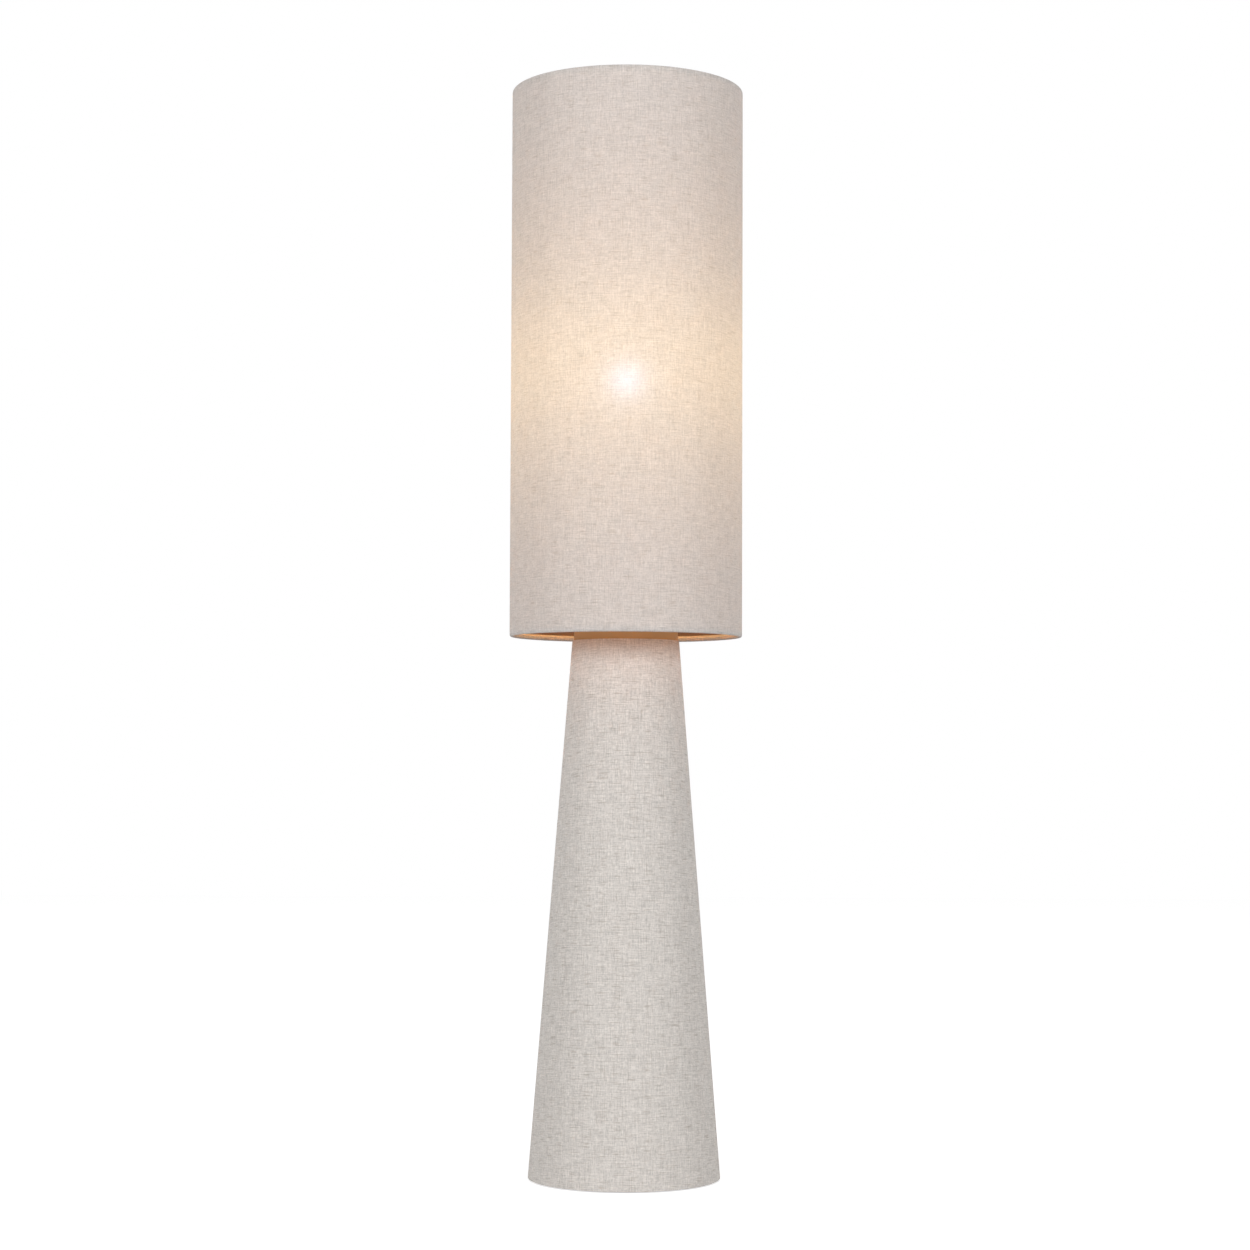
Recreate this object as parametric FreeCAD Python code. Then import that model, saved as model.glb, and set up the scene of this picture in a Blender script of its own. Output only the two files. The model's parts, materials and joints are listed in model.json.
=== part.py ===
import FreeCAD, Part
import math
import os

from FreeCAD import Vector

# Column floor lamp: a linen cylinder shade that stands on the wooden plug of a linen covered,
# weighted, conical base.  Millimetres, +Z up, origin on the floor under the middle of the lamp,
# -Y towards the viewer, +Y the rear, where the mains cord goes in.

# ---------------------------------------------------------------------------------------------
# Driving dimensions
# ---------------------------------------------------------------------------------------------

# Outline
LAMP_HEIGHT = 1300.0        # floor to the upper edge of the shade
SHADE_HEIGHT = 658.0
SHADE_RADIUS = 139.0
BASE_FOOT_RADIUS = 114.0    # covered base at its lower edge
BASE_TOP_RADIUS = 63.8      # covered base at its upper edge
NECK_GAP = 4.4              # upper edge of the base to the lower edge of the shade

# Sheet goods
FABRIC_T = 0.45             # linen
LINER_T = 0.5               # plastic sheet the linen is laminated to
GLUE_LINE = 0.03            # between glued pieces
FELT_T = 2.0

# General clearances
FIT = 0.05                  # radial, threads and pins in their holes
REST_GAP = 0.3              # between pieces that rest on each other and move apart

# Shade frame
RING_WIRE = 3.5             # wire diameter of the rings and arms
RING_PLAY = 0.15            # ring in the rolled linen
SHADE_EDGE_RADIUS = 2.2     # outside rounding of the rolled edges
ROLL_HEIGHT = 7.0           # how far the linen is turned in behind each ring
HUB_T = 2.0
HUB_WIDTH = 19.6            # radial width of the flat hub ring
HUB_PLAY = 0.5              # radial, hub round the boss of the plug
ARM_COUNT = 3
ARM_FIRST_AZIMUTH = 90.0    # degrees, the first arm points to the rear
ARM_DROP_RUN = 12.0         # radial run of the slope down to the lower ring
ARM_BEND_RADIUS = 10.0
ARM_OVERLAP = 13.0          # how far an arm lies on the hub
ARM_WELD_DEPTH = 0.4        # flat worn into the wire by the weld
ARM_NOTCH_GAP = 0.4         # round an arm where it passes the turned-in linen
SEAT_WASHER_T = 1.5

# Plug
NECK_INSET = 1.6            # base edge to the neck, on the radius
NECK_EDGE_RADIUS = 1.0
PLUG_RISE = 10.4            # upper edge of the base to the seat of the shade
BOSS_RADIUS = 35.0
BOSS_RISE = 5.0
PLUG_SKIRT = 18.0           # tapered part below the turned-in linen
TOP_TURN_IN = 8.0           # linen turned in over the liner's upper edge

# Foot
FOOT_TURN_IN = 11.0         # linen turned in under the board
FOOT_EDGE_RADIUS = 0.7
FELT_MARGIN = 0.6           # felt edge to the turned-in linen
BOARD_T = 25.0
POCKET_ROOF = 8.0           # wood left above the wiring pocket
POCKET_WIDTH = 38.0
POCKET_FRONT = 22.0         # pocket reaches this far in front of the axis
POCKET_CORNER_RADIUS = 5.0
POCKET_REAR_WALL = 28.0     # wood left between the pocket and the board's edge
COVER_T = 1.5
COVER_MARGIN = 8.0          # cover past the pocket on every side
COVER_PLAY = 0.3
BALLAST_T = 18.0
BALLAST_MARGIN = 12.0       # to the liner
BALLAST_SCREW_CIRCLE = 62.0 # radius
BALLAST_SCREW_COUNT = 3
BALLAST_SCREW_BITE = 14.0   # depth in the board
FORMER_T = 9.0
FORMER_HOLE_RADIUS = 20.0
FORMER_HOLE_CIRCLE = 54.0   # radius
FORMER_HOLE_COUNT = 5

# Stem, M10 fine thread
TUBE_RADIUS = 5.0
TUBE_BORE_RADIUS = 3.75
TUBE_PROUD = 1.0            # tube past its end nut
NUT_T = 4.0
NUT_FLATS = 14.0
WASHER_T = 1.5
WASHER_RADIUS = 11.0
CUP_RADIUS = 15.0
CUP_T = 6.0
CUP_SOCKET_DEPTH = 3.0
SLEEVE_RADIUS = 8.0
SLEEVE_WALL = 1.2
SLEEVE_LENGTH = 185.0

# Lampholder, E27
HOLDER_NECK_RADIUS = 9.0
HOLDER_NECK_HEIGHT = 10.0
HOLDER_CAP_HEIGHT = 31.0
HOLDER_CAP_RADIUS = 20.8
HOLDER_WALL = 2.0
HOLDER_SKIRT_HEIGHT = 40.0
HOLDER_SKIRT_RADIUS = 23.0
HOLDER_OVERLAP = 9.0        # skirt over cap
HOLDER_LIP = 2.0            # inward lip at the mouth
HOLDER_RIB_COUNT = 24
HOLDER_RIB_DEPTH = 0.5
INSERT_FLANGE_T = 3.0
INSERT_DEPTH = 7.0          # insert below its flange
INSERT_PLAY = 0.4
WELL_RADIUS = 7.0
WELL_DEPTH = 4.0
SHELL_RADIUS = 13.4         # bore of the screw shell
SHELL_T = 0.4
SHELL_HEIGHT = 25.0
SHELL_FLANGE = 2.6
TONGUE_RADIUS = 5.0
TONGUE_T = 0.8
TONGUE_DOME_RADIUS = 2.5
TONGUE_DOME_HEIGHT = 1.6
TERMINAL_SIZE = 6.0
TERMINAL_HEIGHT = 6.0
TERMINAL_SPACING = 14.0     # centre to centre
TERMINAL_SUNK = 2.0         # terminal in the insert
GRUB_RADIUS = 1.5

# Bulb, E27 A60
BULB_LENGTH = 108.0
GLOBE_RADIUS = 30.0
GLOBE_WALL = 1.0
BULB_CAP_RADIUS = 13.1
BULB_CAP_LENGTH = 27.0
BULB_CAP_WALL = 0.5
BULB_CONTACT_RADIUS = 4.5
BULB_CONTACT_T = 1.5
BULB_INSULATOR_RADIUS = 11.0
BULB_INSULATOR_T = 4.5
THREAD_PITCH = 3.63
THREAD_DEPTH = 0.7
THREAD_COUNT = 5
BODY_TOP = 62.0             # light board seat, from the tip
BODY_WALL = 1.5
LED_BOARD_T = 1.6
LED_COUNT = 12
LED_CIRCLE = 15.0           # radius
LED_SIZE = 3.0
LED_T = 0.8
DRIVER_WIDTH = 14.0
DRIVER_T = 1.6
DRIVER_LENGTH = 32.0

# Wiring
LEAD_RADIUS = 1.2
LEAD_SPACING = 2.7          # centre to centre in the tube
LEAD_RISE = 4.5             # lead below the tube's lower end
LEAD_BEND_RADIUS = 9.0
LEAD_FAN_RADIUS = 3.0       # bends where the leads part in the holder
BLOCK_LENGTH = 17.0
BLOCK_WIDTH = 18.0
BLOCK_WALL = 3.5            # below the terminal tubes
BLOCK_CENTRE = 42.0         # behind the axis
BLOCK_PITCH = 8.5
BLOCK_TUBE_RADIUS = 2.5
BLOCK_TUBE_BORE = 1.5
BLOCK_TUBE_INSET = 1.0      # tube ends back from the block's faces
LEAD_IN_BLOCK = 6.0
BLOCK_SCREW_RADIUS = 1.1
BLOCK_SCREW_SPREAD = 4.5    # along the tube, from the middle
GRIP_SETBACK = 17.0         # rear wall of the pocket to the middle of the grip
GRIP_WIDTH = 30.0
GRIP_LENGTH = 8.0
GRIP_BAR_T = 2.6
GRIP_SCREW_SPREAD = 10.0
CORD_SPACE_RADIUS = 3.6     # room for the round mains cord
GLAND_HEIGHT = 11.0         # above the floor
GLAND_RADIUS = 5.5
GLAND_FLANGE_RADIUS = 8.0
GLAND_FLANGE_T = 2.6
GLAND_NUT_T = 4.0
GLAND_NUT_FLATS = 14.0

# Screws
WOOD_SCREW_RADIUS = 2.2
WOOD_SCREW_HEAD = 4.4
WOOD_SCREW_HEAD_T = 2.6
SMALL_SCREW_RADIUS = 1.4
SMALL_SCREW_HEAD = 2.8
SMALL_SCREW_HEAD_T = 1.4
SMALL_SCREW_LENGTH = 10.0
SLOT_WIDTH = 0.8
SLOT_DEPTH = 0.6

# ---------------------------------------------------------------------------------------------
# Levels and fits that follow from them
# ---------------------------------------------------------------------------------------------

UP = Vector(0, 0, 1)
ORIGIN = Vector(0, 0, 0)

SHADE_Z0 = LAMP_HEIGHT - SHADE_HEIGHT
BASE_TOP_Z = SHADE_Z0 - NECK_GAP
BOARD_Z0 = FELT_T
BOARD_Z1 = BOARD_Z0 + BOARD_T
CEILING_Z = BOARD_Z1 - POCKET_ROOF
BALLAST_Z1 = BOARD_Z1 + BALLAST_T
COVERING_Z0 = BOARD_Z0 - GLUE_LINE - FABRIC_T
LINER_TOP_Z = BASE_TOP_Z - FABRIC_T - GLUE_LINE
TURN_IN_Z = BASE_TOP_Z - TOP_TURN_IN
PLUG_Z0 = TURN_IN_Z - PLUG_SKIRT
PLUG_Z1 = BASE_TOP_Z + PLUG_RISE
BOSS_Z1 = PLUG_Z1 + BOSS_RISE

LINER_OUT = FABRIC_T + GLUE_LINE            # insets from the outside of the covering
LINER_IN = LINER_OUT + LINER_T
TURN_IN_OUT = LINER_IN + GLUE_LINE
TURN_IN_IN = TURN_IN_OUT + FABRIC_T
CORE_INSET = LINER_IN + GLUE_LINE

HOLDER_Z0 = BOSS_Z1 + CUP_T - CUP_SOCKET_DEPTH + SLEEVE_LENGTH
HOLDER_FLOOR_Z = HOLDER_Z0 + HOLDER_NECK_HEIGHT + HOLDER_WALL
HOLDER_CAP_Z1 = HOLDER_Z0 + HOLDER_CAP_HEIGHT
INSERT_Z1 = HOLDER_CAP_Z1 + INSERT_FLANGE_T
TUBE_Z0 = CEILING_Z - WASHER_T - NUT_T - TUBE_PROUD
TUBE_Z1 = HOLDER_FLOOR_Z + TUBE_PROUD
LEAD_Z = TUBE_Z0 - LEAD_RISE
TONGUE_TOP_Z = INSERT_Z1 - WELL_DEPTH + TONGUE_T + TONGUE_DOME_HEIGHT
BULB_Z0 = TONGUE_TOP_Z + REST_GAP

SEAT_WASHER_Z0 = PLUG_Z1 + REST_GAP
HUB_Z0 = SEAT_WASHER_Z0 + SEAT_WASHER_T + REST_GAP
HUB_Z1 = HUB_Z0 + HUB_T
HUB_INNER = BOSS_RADIUS + HUB_PLAY
HUB_OUTER = HUB_INNER + HUB_WIDTH

SHADE_LINER_OUTER = SHADE_RADIUS - FABRIC_T - GLUE_LINE
SHADE_LINER_INNER = SHADE_LINER_OUTER - LINER_T
RING_OUTER = SHADE_LINER_INNER - GLUE_LINE
RING_CENTRE = RING_OUTER - RING_WIRE / 2
RING_LEVEL = FABRIC_T + RING_PLAY + RING_WIRE / 2   # ring centre from the edge of the shade


# ---------------------------------------------------------------------------------------------
# Helpers
# ---------------------------------------------------------------------------------------------

def save(node, *solids):
    """Write one node; several solids stay separate solids of that node."""
    shape = solids[0] if len(solids) == 1 else Part.makeCompound(list(solids))
    shape.exportStep("parts/" + node + ".step")
    volume = sum(solid.Volume for solid in solids)
    valid = all(solid.isValid() for solid in solids)
    print(f"{node:24s} solids {len(shape.Solids)} volume {volume:12.1f} valid {valid}")


def path_edges(points, radii, closed):
    """Straight runs between the points, with a tangent arc wherever a radius is given."""
    count = len(points)
    entries, exits, arcs = [], [], []
    for i, corner in enumerate(points):
        radius = radii[i]
        if radius == 0:
            entries.append(corner)
            exits.append(corner)
            arcs.append(None)
            continue
        back = (points[i - 1] - corner).normalize()
        ahead = (points[(i + 1) % count] - corner).normalize()
        half = back.getAngle(ahead) / 2
        trim = radius / math.tan(half)
        entry = corner + back * trim
        leave = corner + ahead * trim
        inward = (back + ahead).normalize()
        middle = corner + inward * (radius / math.sin(half) - radius)
        entries.append(entry)
        exits.append(leave)
        arcs.append(Part.Arc(entry, middle, leave).toShape())
    edges = []
    for i in range(count):
        if arcs[i]:
            edges.append(arcs[i])
        if i + 1 < count or closed:
            edges.append(Part.makeLine(exits[i], entries[(i + 1) % count]))
    return edges


def turned(corners):
    """A solid of revolution about the lamp's axis from (radius, z) or (radius, z, rounding)."""
    points = [Vector(corner[0], 0, corner[1]) for corner in corners]
    radii = [corner[2] if len(corner) > 2 else 0 for corner in corners]
    outline = Part.Wire(path_edges(points, radii, True))
    return Part.Face(outline).revolve(ORIGIN, UP, 360)


def ring(outer, inner, z0, z1):
    """A flat ring or a straight tube on the axis."""
    return turned([(inner, z0), (outer, z0), (outer, z1), (inner, z1)])


def disc(radius, z0, z1, x=0.0, y=0.0):
    """A solid cylinder that stands on z0."""
    return Part.makeCylinder(radius, z1 - z0, Vector(x, y, z0))


def bar_along_y(radius, y0, y1, z, x=0.0):
    """A solid cylinder that lies along Y."""
    return Part.makeCylinder(radius, y1 - y0, Vector(x, y0, z), Vector(0, 1, 0))


def hexagon(flats, z0, z1):
    """A hexagonal prism on the axis."""
    corner_radius = flats / math.sqrt(3)
    corners = [polar(corner_radius, 60 * i, z0) for i in range(7)]
    return Part.Face(Part.makePolygon(corners)).extrude(Vector(0, 0, z1 - z0))


def block(x0, x1, y0, y1, z0, z1):
    """A rectangular block between two corners."""
    return Part.makeBox(x1 - x0, y1 - y0, z1 - z0, Vector(x0, y0, z0))


def polar(radius, azimuth, z):
    """A point from its radius and its azimuth in degrees."""
    turn = math.radians(azimuth)
    return Vector(radius * math.cos(turn), radius * math.sin(turn), z)


def spun(shape, azimuth):
    """The shape turned about the lamp's axis."""
    return shape.rotated(ORIGIN, UP, azimuth)


def flipped(shape):
    """The shape turned upside down about the X axis."""
    return shape.rotated(ORIGIN, Vector(1, 0, 0), 180)


def wire_along(points, radii, radius):
    """A round wire or lead along a path."""
    path = Part.Wire(path_edges(points, radii, False))
    start = (points[1] - points[0]).normalize()
    section = Part.Wire(Part.Circle(points[0], start, radius).toShape())
    return path.makePipeShell([section], True, False)


def cone_radius(z, inset=0.0):
    """Outside radius of the base's covering at a height, less an inset."""
    slope = (BASE_TOP_RADIUS - BASE_FOOT_RADIUS) / (BASE_TOP_Z - COVERING_Z0)
    return BASE_FOOT_RADIUS + slope * (z - COVERING_Z0) - inset


def countersunk(radius, head, head_t, length, clearance=0.0):
    """A slotted countersunk screw, head face up at z = 0; with a clearance, the hole for it."""
    shank = radius + clearance
    rim = head + clearance
    screw = turned([(0, 0), (rim, 0), (shank, -head_t), (shank, -length - clearance),
                    (0, -length - clearance)])
    if clearance:
        return screw
    return screw.cut(block(-head, head, -SLOT_WIDTH / 2, SLOT_WIDTH / 2, -SLOT_DEPTH, 1))


def small_screw(clearance=0.0):
    """The small countersunk screw, head face up at z = 0."""
    return countersunk(SMALL_SCREW_RADIUS, SMALL_SCREW_HEAD, SMALL_SCREW_HEAD_T,
                       SMALL_SCREW_LENGTH, clearance)


def moved(shape, x=0.0, y=0.0, z=0.0):
    """The shape moved."""
    return shape.translated(Vector(x, y, z))


# ---------------------------------------------------------------------------------------------
# Foot: felt, board, ballast and wiring pocket
# ---------------------------------------------------------------------------------------------

BOARD_EDGE = cone_radius(BOARD_Z0, CORE_INSET)
POCKET_REAR = BOARD_EDGE - POCKET_REAR_WALL
POCKET_HALF = POCKET_WIDTH / 2
COVER_HALF = POCKET_HALF + COVER_MARGIN
COVER_FRONT = POCKET_FRONT + COVER_MARGIN
COVER_REAR = POCKET_REAR + COVER_MARGIN
GRIP_CENTRE = POCKET_REAR - GRIP_SETBACK


def ballast_screws(clearance=0.0):
    length = BALLAST_T + BALLAST_SCREW_BITE
    screw = countersunk(WOOD_SCREW_RADIUS, WOOD_SCREW_HEAD, WOOD_SCREW_HEAD_T, length, clearance)
    first = moved(screw, y=-BALLAST_SCREW_CIRCLE, z=BALLAST_Z1)
    return [spun(first, 360 / BALLAST_SCREW_COUNT * i) for i in range(BALLAST_SCREW_COUNT)]


def cover_screws(clearance=0.0):
    screw = flipped(small_screw(clearance))
    inset = COVER_MARGIN / 2
    spots = [(x, y)
             for x in (-COVER_HALF + inset, COVER_HALF - inset)
             for y in (-COVER_FRONT + inset, COVER_REAR - inset)]
    return [moved(screw, x, y, BOARD_Z0) for x, y in spots]


def block_screw(clearance=0.0):
    """Holds the terminal block to the ceiling of the pocket, head down."""
    return moved(flipped(small_screw(clearance)), y=BLOCK_CENTRE, z=BLOCK_Z0 + BLOCK_SCREW_SINK)


def grip_screws(clearance=0.0):
    screw = flipped(small_screw(clearance))
    return [moved(screw, x, GRIP_CENTRE, GRIP_Z0 + GRIP_SCREW_SINK)
            for x in (-GRIP_SCREW_SPREAD, GRIP_SCREW_SPREAD)]


BLOCK_Z0 = LEAD_Z - BLOCK_WALL
BLOCK_SCREW_SINK = CEILING_Z - BLOCK_Z0 - SMALL_SCREW_LENGTH + POCKET_ROOF / 2
GRIP_Z0 = GLAND_HEIGHT - CORD_SPACE_RADIUS - GRIP_BAR_T
GRIP_SCREW_SINK = CEILING_Z - GRIP_Z0 - SMALL_SCREW_LENGTH + POCKET_ROOF / 2


def make_felt_pad():
    edge = cone_radius(COVERING_Z0) - FOOT_TURN_IN - FELT_MARGIN
    save("felt_pad", disc(edge, 0, FELT_T))


def make_base_board():
    board = turned([(TUBE_RADIUS + FIT, BOARD_Z0), (BOARD_EDGE, BOARD_Z0),
                    (cone_radius(BOARD_Z1, CORE_INSET), BOARD_Z1), (TUBE_RADIUS + FIT, BOARD_Z1)])
    pocket = block(-POCKET_HALF, POCKET_HALF, -POCKET_FRONT, POCKET_REAR, BOARD_Z0, CEILING_Z)
    upright = [edge for edge in pocket.Edges
               if abs(edge.Vertexes[0].Z - edge.Vertexes[1].Z) > 1]
    board = board.cut(pocket.makeFillet(POCKET_CORNER_RADIUS, upright))
    board = board.cut(block(-COVER_HALF - COVER_PLAY, COVER_HALF + COVER_PLAY,
                            -COVER_FRONT - COVER_PLAY, COVER_REAR + COVER_PLAY,
                            BOARD_Z0, BOARD_Z0 + COVER_T))
    board = board.cut(bar_along_y(GLAND_RADIUS + FIT, POCKET_REAR - 1, BOARD_EDGE + 1,
                                  GLAND_HEIGHT))
    holes = ballast_screws(FIT) + cover_screws(FIT) + grip_screws(FIT) + [block_screw(FIT)]
    for hole in holes:
        board = board.cut(hole)
    save("base_board", board)


def make_wiring_cover():
    cover = block(-COVER_HALF, COVER_HALF, -COVER_FRONT, COVER_REAR, BOARD_Z0,
                  BOARD_Z0 + COVER_T)
    for hole in cover_screws(FIT):
        cover = cover.cut(hole)
    save("wiring_cover", cover)
    save("wiring_cover_screws", *cover_screws())


def make_ballast():
    edge = cone_radius(BALLAST_Z1, CORE_INSET) - BALLAST_MARGIN
    ballast = turned([(TUBE_RADIUS + FIT, BOARD_Z1), (edge, BOARD_Z1), (edge, BALLAST_Z1, 1.5),
                      (TUBE_RADIUS + FIT, BALLAST_Z1)])
    for hole in ballast_screws(FIT):
        ballast = ballast.cut(hole)
    save("base_ballast", ballast)
    save("ballast_screws", *ballast_screws())


def make_cord_entry():
    outside = turned([(0, COVERING_Z0 - 1), (cone_radius(COVERING_Z0 - 1, -GLUE_LINE),
                                             COVERING_Z0 - 1),
                      (cone_radius(BALLAST_Z1, -GLUE_LINE), BALLAST_Z1), (0, BALLAST_Z1)])
    face = cone_radius(GLAND_HEIGHT) + GLAND_FLANGE_T
    inner_end = POCKET_REAR - GLAND_NUT_T - TUBE_PROUD
    flange = bar_along_y(GLAND_FLANGE_RADIUS, BOARD_EDGE - 4, face, GLAND_HEIGHT)
    flange = flange.cut(outside)
    barrel = bar_along_y(GLAND_RADIUS, inner_end, face, GLAND_HEIGHT)
    gland = flange.fuse(barrel).removeSplitter()
    front_edge = [edge for edge in gland.Edges
                  if edge.BoundBox.YMin > face - 0.01 and len(edge.Vertexes) == 1]
    gland = gland.makeChamfer(0.6, front_edge)
    gland = gland.cut(bar_along_y(CORD_SPACE_RADIUS, inner_end - 1, face + 1, GLAND_HEIGHT))
    save("cord_gland", gland.Solids[0])

    nut = hexagon(GLAND_NUT_FLATS, 0, GLAND_NUT_T).cut(disc(GLAND_RADIUS + FIT, -1,
                                                            GLAND_NUT_T + 1))
    nut = nut.rotated(ORIGIN, Vector(1, 0, 0), 90)
    save("gland_nut", moved(nut, y=POCKET_REAR, z=GLAND_HEIGHT))


def make_cord_grip():
    y0 = GRIP_CENTRE - GRIP_LENGTH / 2
    y1 = GRIP_CENTRE + GRIP_LENGTH / 2
    grip = block(-GRIP_WIDTH / 2, GRIP_WIDTH / 2, y0, y1, GRIP_Z0, CEILING_Z)
    grip = grip.cut(bar_along_y(CORD_SPACE_RADIUS, y0 - 1, y1 + 1, GLAND_HEIGHT))
    grip = grip.cut(block(-CORD_SPACE_RADIUS, CORD_SPACE_RADIUS, y0 - 1, y1 + 1, GLAND_HEIGHT,
                          CEILING_Z + 1))
    for hole in grip_screws(FIT):
        grip = grip.cut(hole)
        rim = hole.BoundBox
        grip = grip.cut(disc(SMALL_SCREW_HEAD + FIT, GRIP_Z0 - 1, GRIP_Z0 + GRIP_SCREW_SINK,
                             rim.Center.x, rim.Center.y))
    save("cord_grip", grip)
    save("cord_grip_screws", *grip_screws())


def block_clamp_screws(clearance=0.0):
    """Four slotted screws that press on the wires inside the terminal tubes, heads down."""
    radius = BLOCK_SCREW_RADIUS + clearance
    top = LEAD_Z - BLOCK_TUBE_BORE
    bottom = BLOCK_Z0 - (1 if clearance else 0)
    screws = []
    for side in (-1, 1):
        for end in (-1, 1):
            x = side * BLOCK_PITCH / 2
            y = BLOCK_CENTRE + end * BLOCK_SCREW_SPREAD
            screw = disc(radius, bottom, top, x, y)
            if not clearance:
                screw = screw.cut(block(x - radius, x + radius, y - SLOT_WIDTH / 4,
                                        y + SLOT_WIDTH / 4, bottom, bottom + SLOT_DEPTH))
            screws.append(screw)
    return screws


def make_terminal_block():
    y0 = BLOCK_CENTRE - BLOCK_LENGTH / 2
    y1 = BLOCK_CENTRE + BLOCK_LENGTH / 2
    body = block(-BLOCK_WIDTH / 2, BLOCK_WIDTH / 2, y0, y1, BLOCK_Z0, CEILING_Z)
    tubes = []
    for side in (-1, 1):
        x = side * BLOCK_PITCH / 2
        body = body.cut(bar_along_y(BLOCK_TUBE_RADIUS + FIT, y0 - 1, y1 + 1, LEAD_Z, x))
        tube = bar_along_y(BLOCK_TUBE_RADIUS, y0 + BLOCK_TUBE_INSET, y1 - BLOCK_TUBE_INSET,
                           LEAD_Z, x)
        tube = tube.cut(bar_along_y(BLOCK_TUBE_BORE, y0 - 1, y1 + 1, LEAD_Z, x))
        for hole in block_clamp_screws(FIT):
            tube = tube.cut(hole)
        tubes.append(tube)
    for hole in block_clamp_screws(FIT) + [block_screw(FIT)]:
        body = body.cut(hole)
    body = body.cut(disc(SMALL_SCREW_HEAD + FIT, BLOCK_Z0 - 1, BLOCK_Z0 + BLOCK_SCREW_SINK,
                         0, BLOCK_CENTRE))
    save("terminal_block", body)
    save("terminal_tubes", *tubes)
    save("terminal_block_screws", block_screw(), *block_clamp_screws())


# ---------------------------------------------------------------------------------------------
# Conical base: liner, linen, former, plug
# ---------------------------------------------------------------------------------------------

def gland_hole():
    return bar_along_y(GLAND_RADIUS + FIT, BOARD_EDGE - 6, BASE_FOOT_RADIUS + 6, GLAND_HEIGHT)


def make_base_liner():
    liner = turned([(cone_radius(BOARD_Z0, LINER_OUT), BOARD_Z0),
                    (cone_radius(LINER_TOP_Z, LINER_OUT), LINER_TOP_Z),
                    (cone_radius(LINER_TOP_Z, LINER_IN), LINER_TOP_Z),
                    (cone_radius(BOARD_Z0, LINER_IN), BOARD_Z0)])
    save("base_liner", liner.cut(gland_hole()))


def make_base_fabric():
    hem = cone_radius(COVERING_Z0) - FOOT_TURN_IN
    inner_z = BOARD_Z0 - GLUE_LINE
    fabric = turned([(hem, COVERING_Z0),
                     (cone_radius(COVERING_Z0), COVERING_Z0, FOOT_EDGE_RADIUS),
                     (cone_radius(BASE_TOP_Z), BASE_TOP_Z, FABRIC_T),
                     (cone_radius(BASE_TOP_Z, TURN_IN_IN), BASE_TOP_Z, FABRIC_T),
                     (cone_radius(TURN_IN_Z, TURN_IN_IN), TURN_IN_Z),
                     (cone_radius(TURN_IN_Z, TURN_IN_OUT), TURN_IN_Z),
                     (cone_radius(BASE_TOP_Z - FABRIC_T, TURN_IN_OUT), BASE_TOP_Z - FABRIC_T),
                     (cone_radius(BASE_TOP_Z - FABRIC_T, FABRIC_T), BASE_TOP_Z - FABRIC_T),
                     (cone_radius(inner_z, FABRIC_T), inner_z),
                     (hem, inner_z)])
    save("base_fabric", fabric.cut(gland_hole()))


def make_base_former():
    z0 = (BALLAST_Z1 + PLUG_Z0) / 2
    z1 = z0 + FORMER_T
    former = turned([(TUBE_RADIUS + FIT, z0), (cone_radius(z0, CORE_INSET), z0),
                     (cone_radius(z1, CORE_INSET), z1), (TUBE_RADIUS + FIT, z1)])
    for i in range(FORMER_HOLE_COUNT):
        spot = polar(FORMER_HOLE_CIRCLE, 360 / FORMER_HOLE_COUNT * i, z0)
        former = former.cut(disc(FORMER_HOLE_RADIUS, z0 - 1, z1 + 1, spot.x, spot.y))
    save("base_former", former)


def make_top_plug():
    neck = cone_radius(BASE_TOP_Z) - NECK_INSET
    shoulder = TURN_IN_Z - GLUE_LINE
    plug = turned([(TUBE_RADIUS + FIT, PLUG_Z0),
                   (cone_radius(PLUG_Z0, CORE_INSET), PLUG_Z0),
                   (cone_radius(shoulder, CORE_INSET), shoulder),
                   (neck, shoulder),
                   (neck, PLUG_Z1, NECK_EDGE_RADIUS),
                   (BOSS_RADIUS, PLUG_Z1),
                   (BOSS_RADIUS, BOSS_Z1, NECK_EDGE_RADIUS),
                   (TUBE_RADIUS + FIT, BOSS_Z1)])
    save("top_plug", plug)


# ---------------------------------------------------------------------------------------------
# Stem
# ---------------------------------------------------------------------------------------------

def clamp_nut(z):
    bore = disc(TUBE_RADIUS + FIT, z - 1, z + NUT_T + 1)
    return hexagon(NUT_FLATS, z, z + NUT_T).cut(bore)


def make_stem():
    save("threaded_tube", ring(TUBE_RADIUS, TUBE_BORE_RADIUS, TUBE_Z0, TUBE_Z1))
    washer_levels = [CEILING_Z - WASHER_T, BALLAST_Z1, PLUG_Z0 - WASHER_T]
    nut_levels = [CEILING_Z - WASHER_T - NUT_T, BALLAST_Z1 + WASHER_T, PLUG_Z0 - WASHER_T - NUT_T]
    save("tube_washers", *[ring(WASHER_RADIUS, TUBE_RADIUS + FIT, z, z + WASHER_T)
                           for z in washer_levels])
    save("tube_nuts", *[clamp_nut(z) for z in nut_levels])
    cup_z1 = BOSS_Z1 + CUP_T
    socket_z = cup_z1 - CUP_SOCKET_DEPTH
    save("stem_cup", turned([(TUBE_RADIUS + FIT, BOSS_Z1), (CUP_RADIUS, BOSS_Z1),
                             (CUP_RADIUS, cup_z1, 2.0), (SLEEVE_RADIUS + FIT, cup_z1),
                             (SLEEVE_RADIUS + FIT, socket_z), (TUBE_RADIUS + FIT, socket_z)]))
    save("stem_sleeve", ring(SLEEVE_RADIUS, SLEEVE_RADIUS - SLEEVE_WALL, socket_z, HOLDER_Z0))


# ---------------------------------------------------------------------------------------------
# Lampholder
# ---------------------------------------------------------------------------------------------

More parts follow.
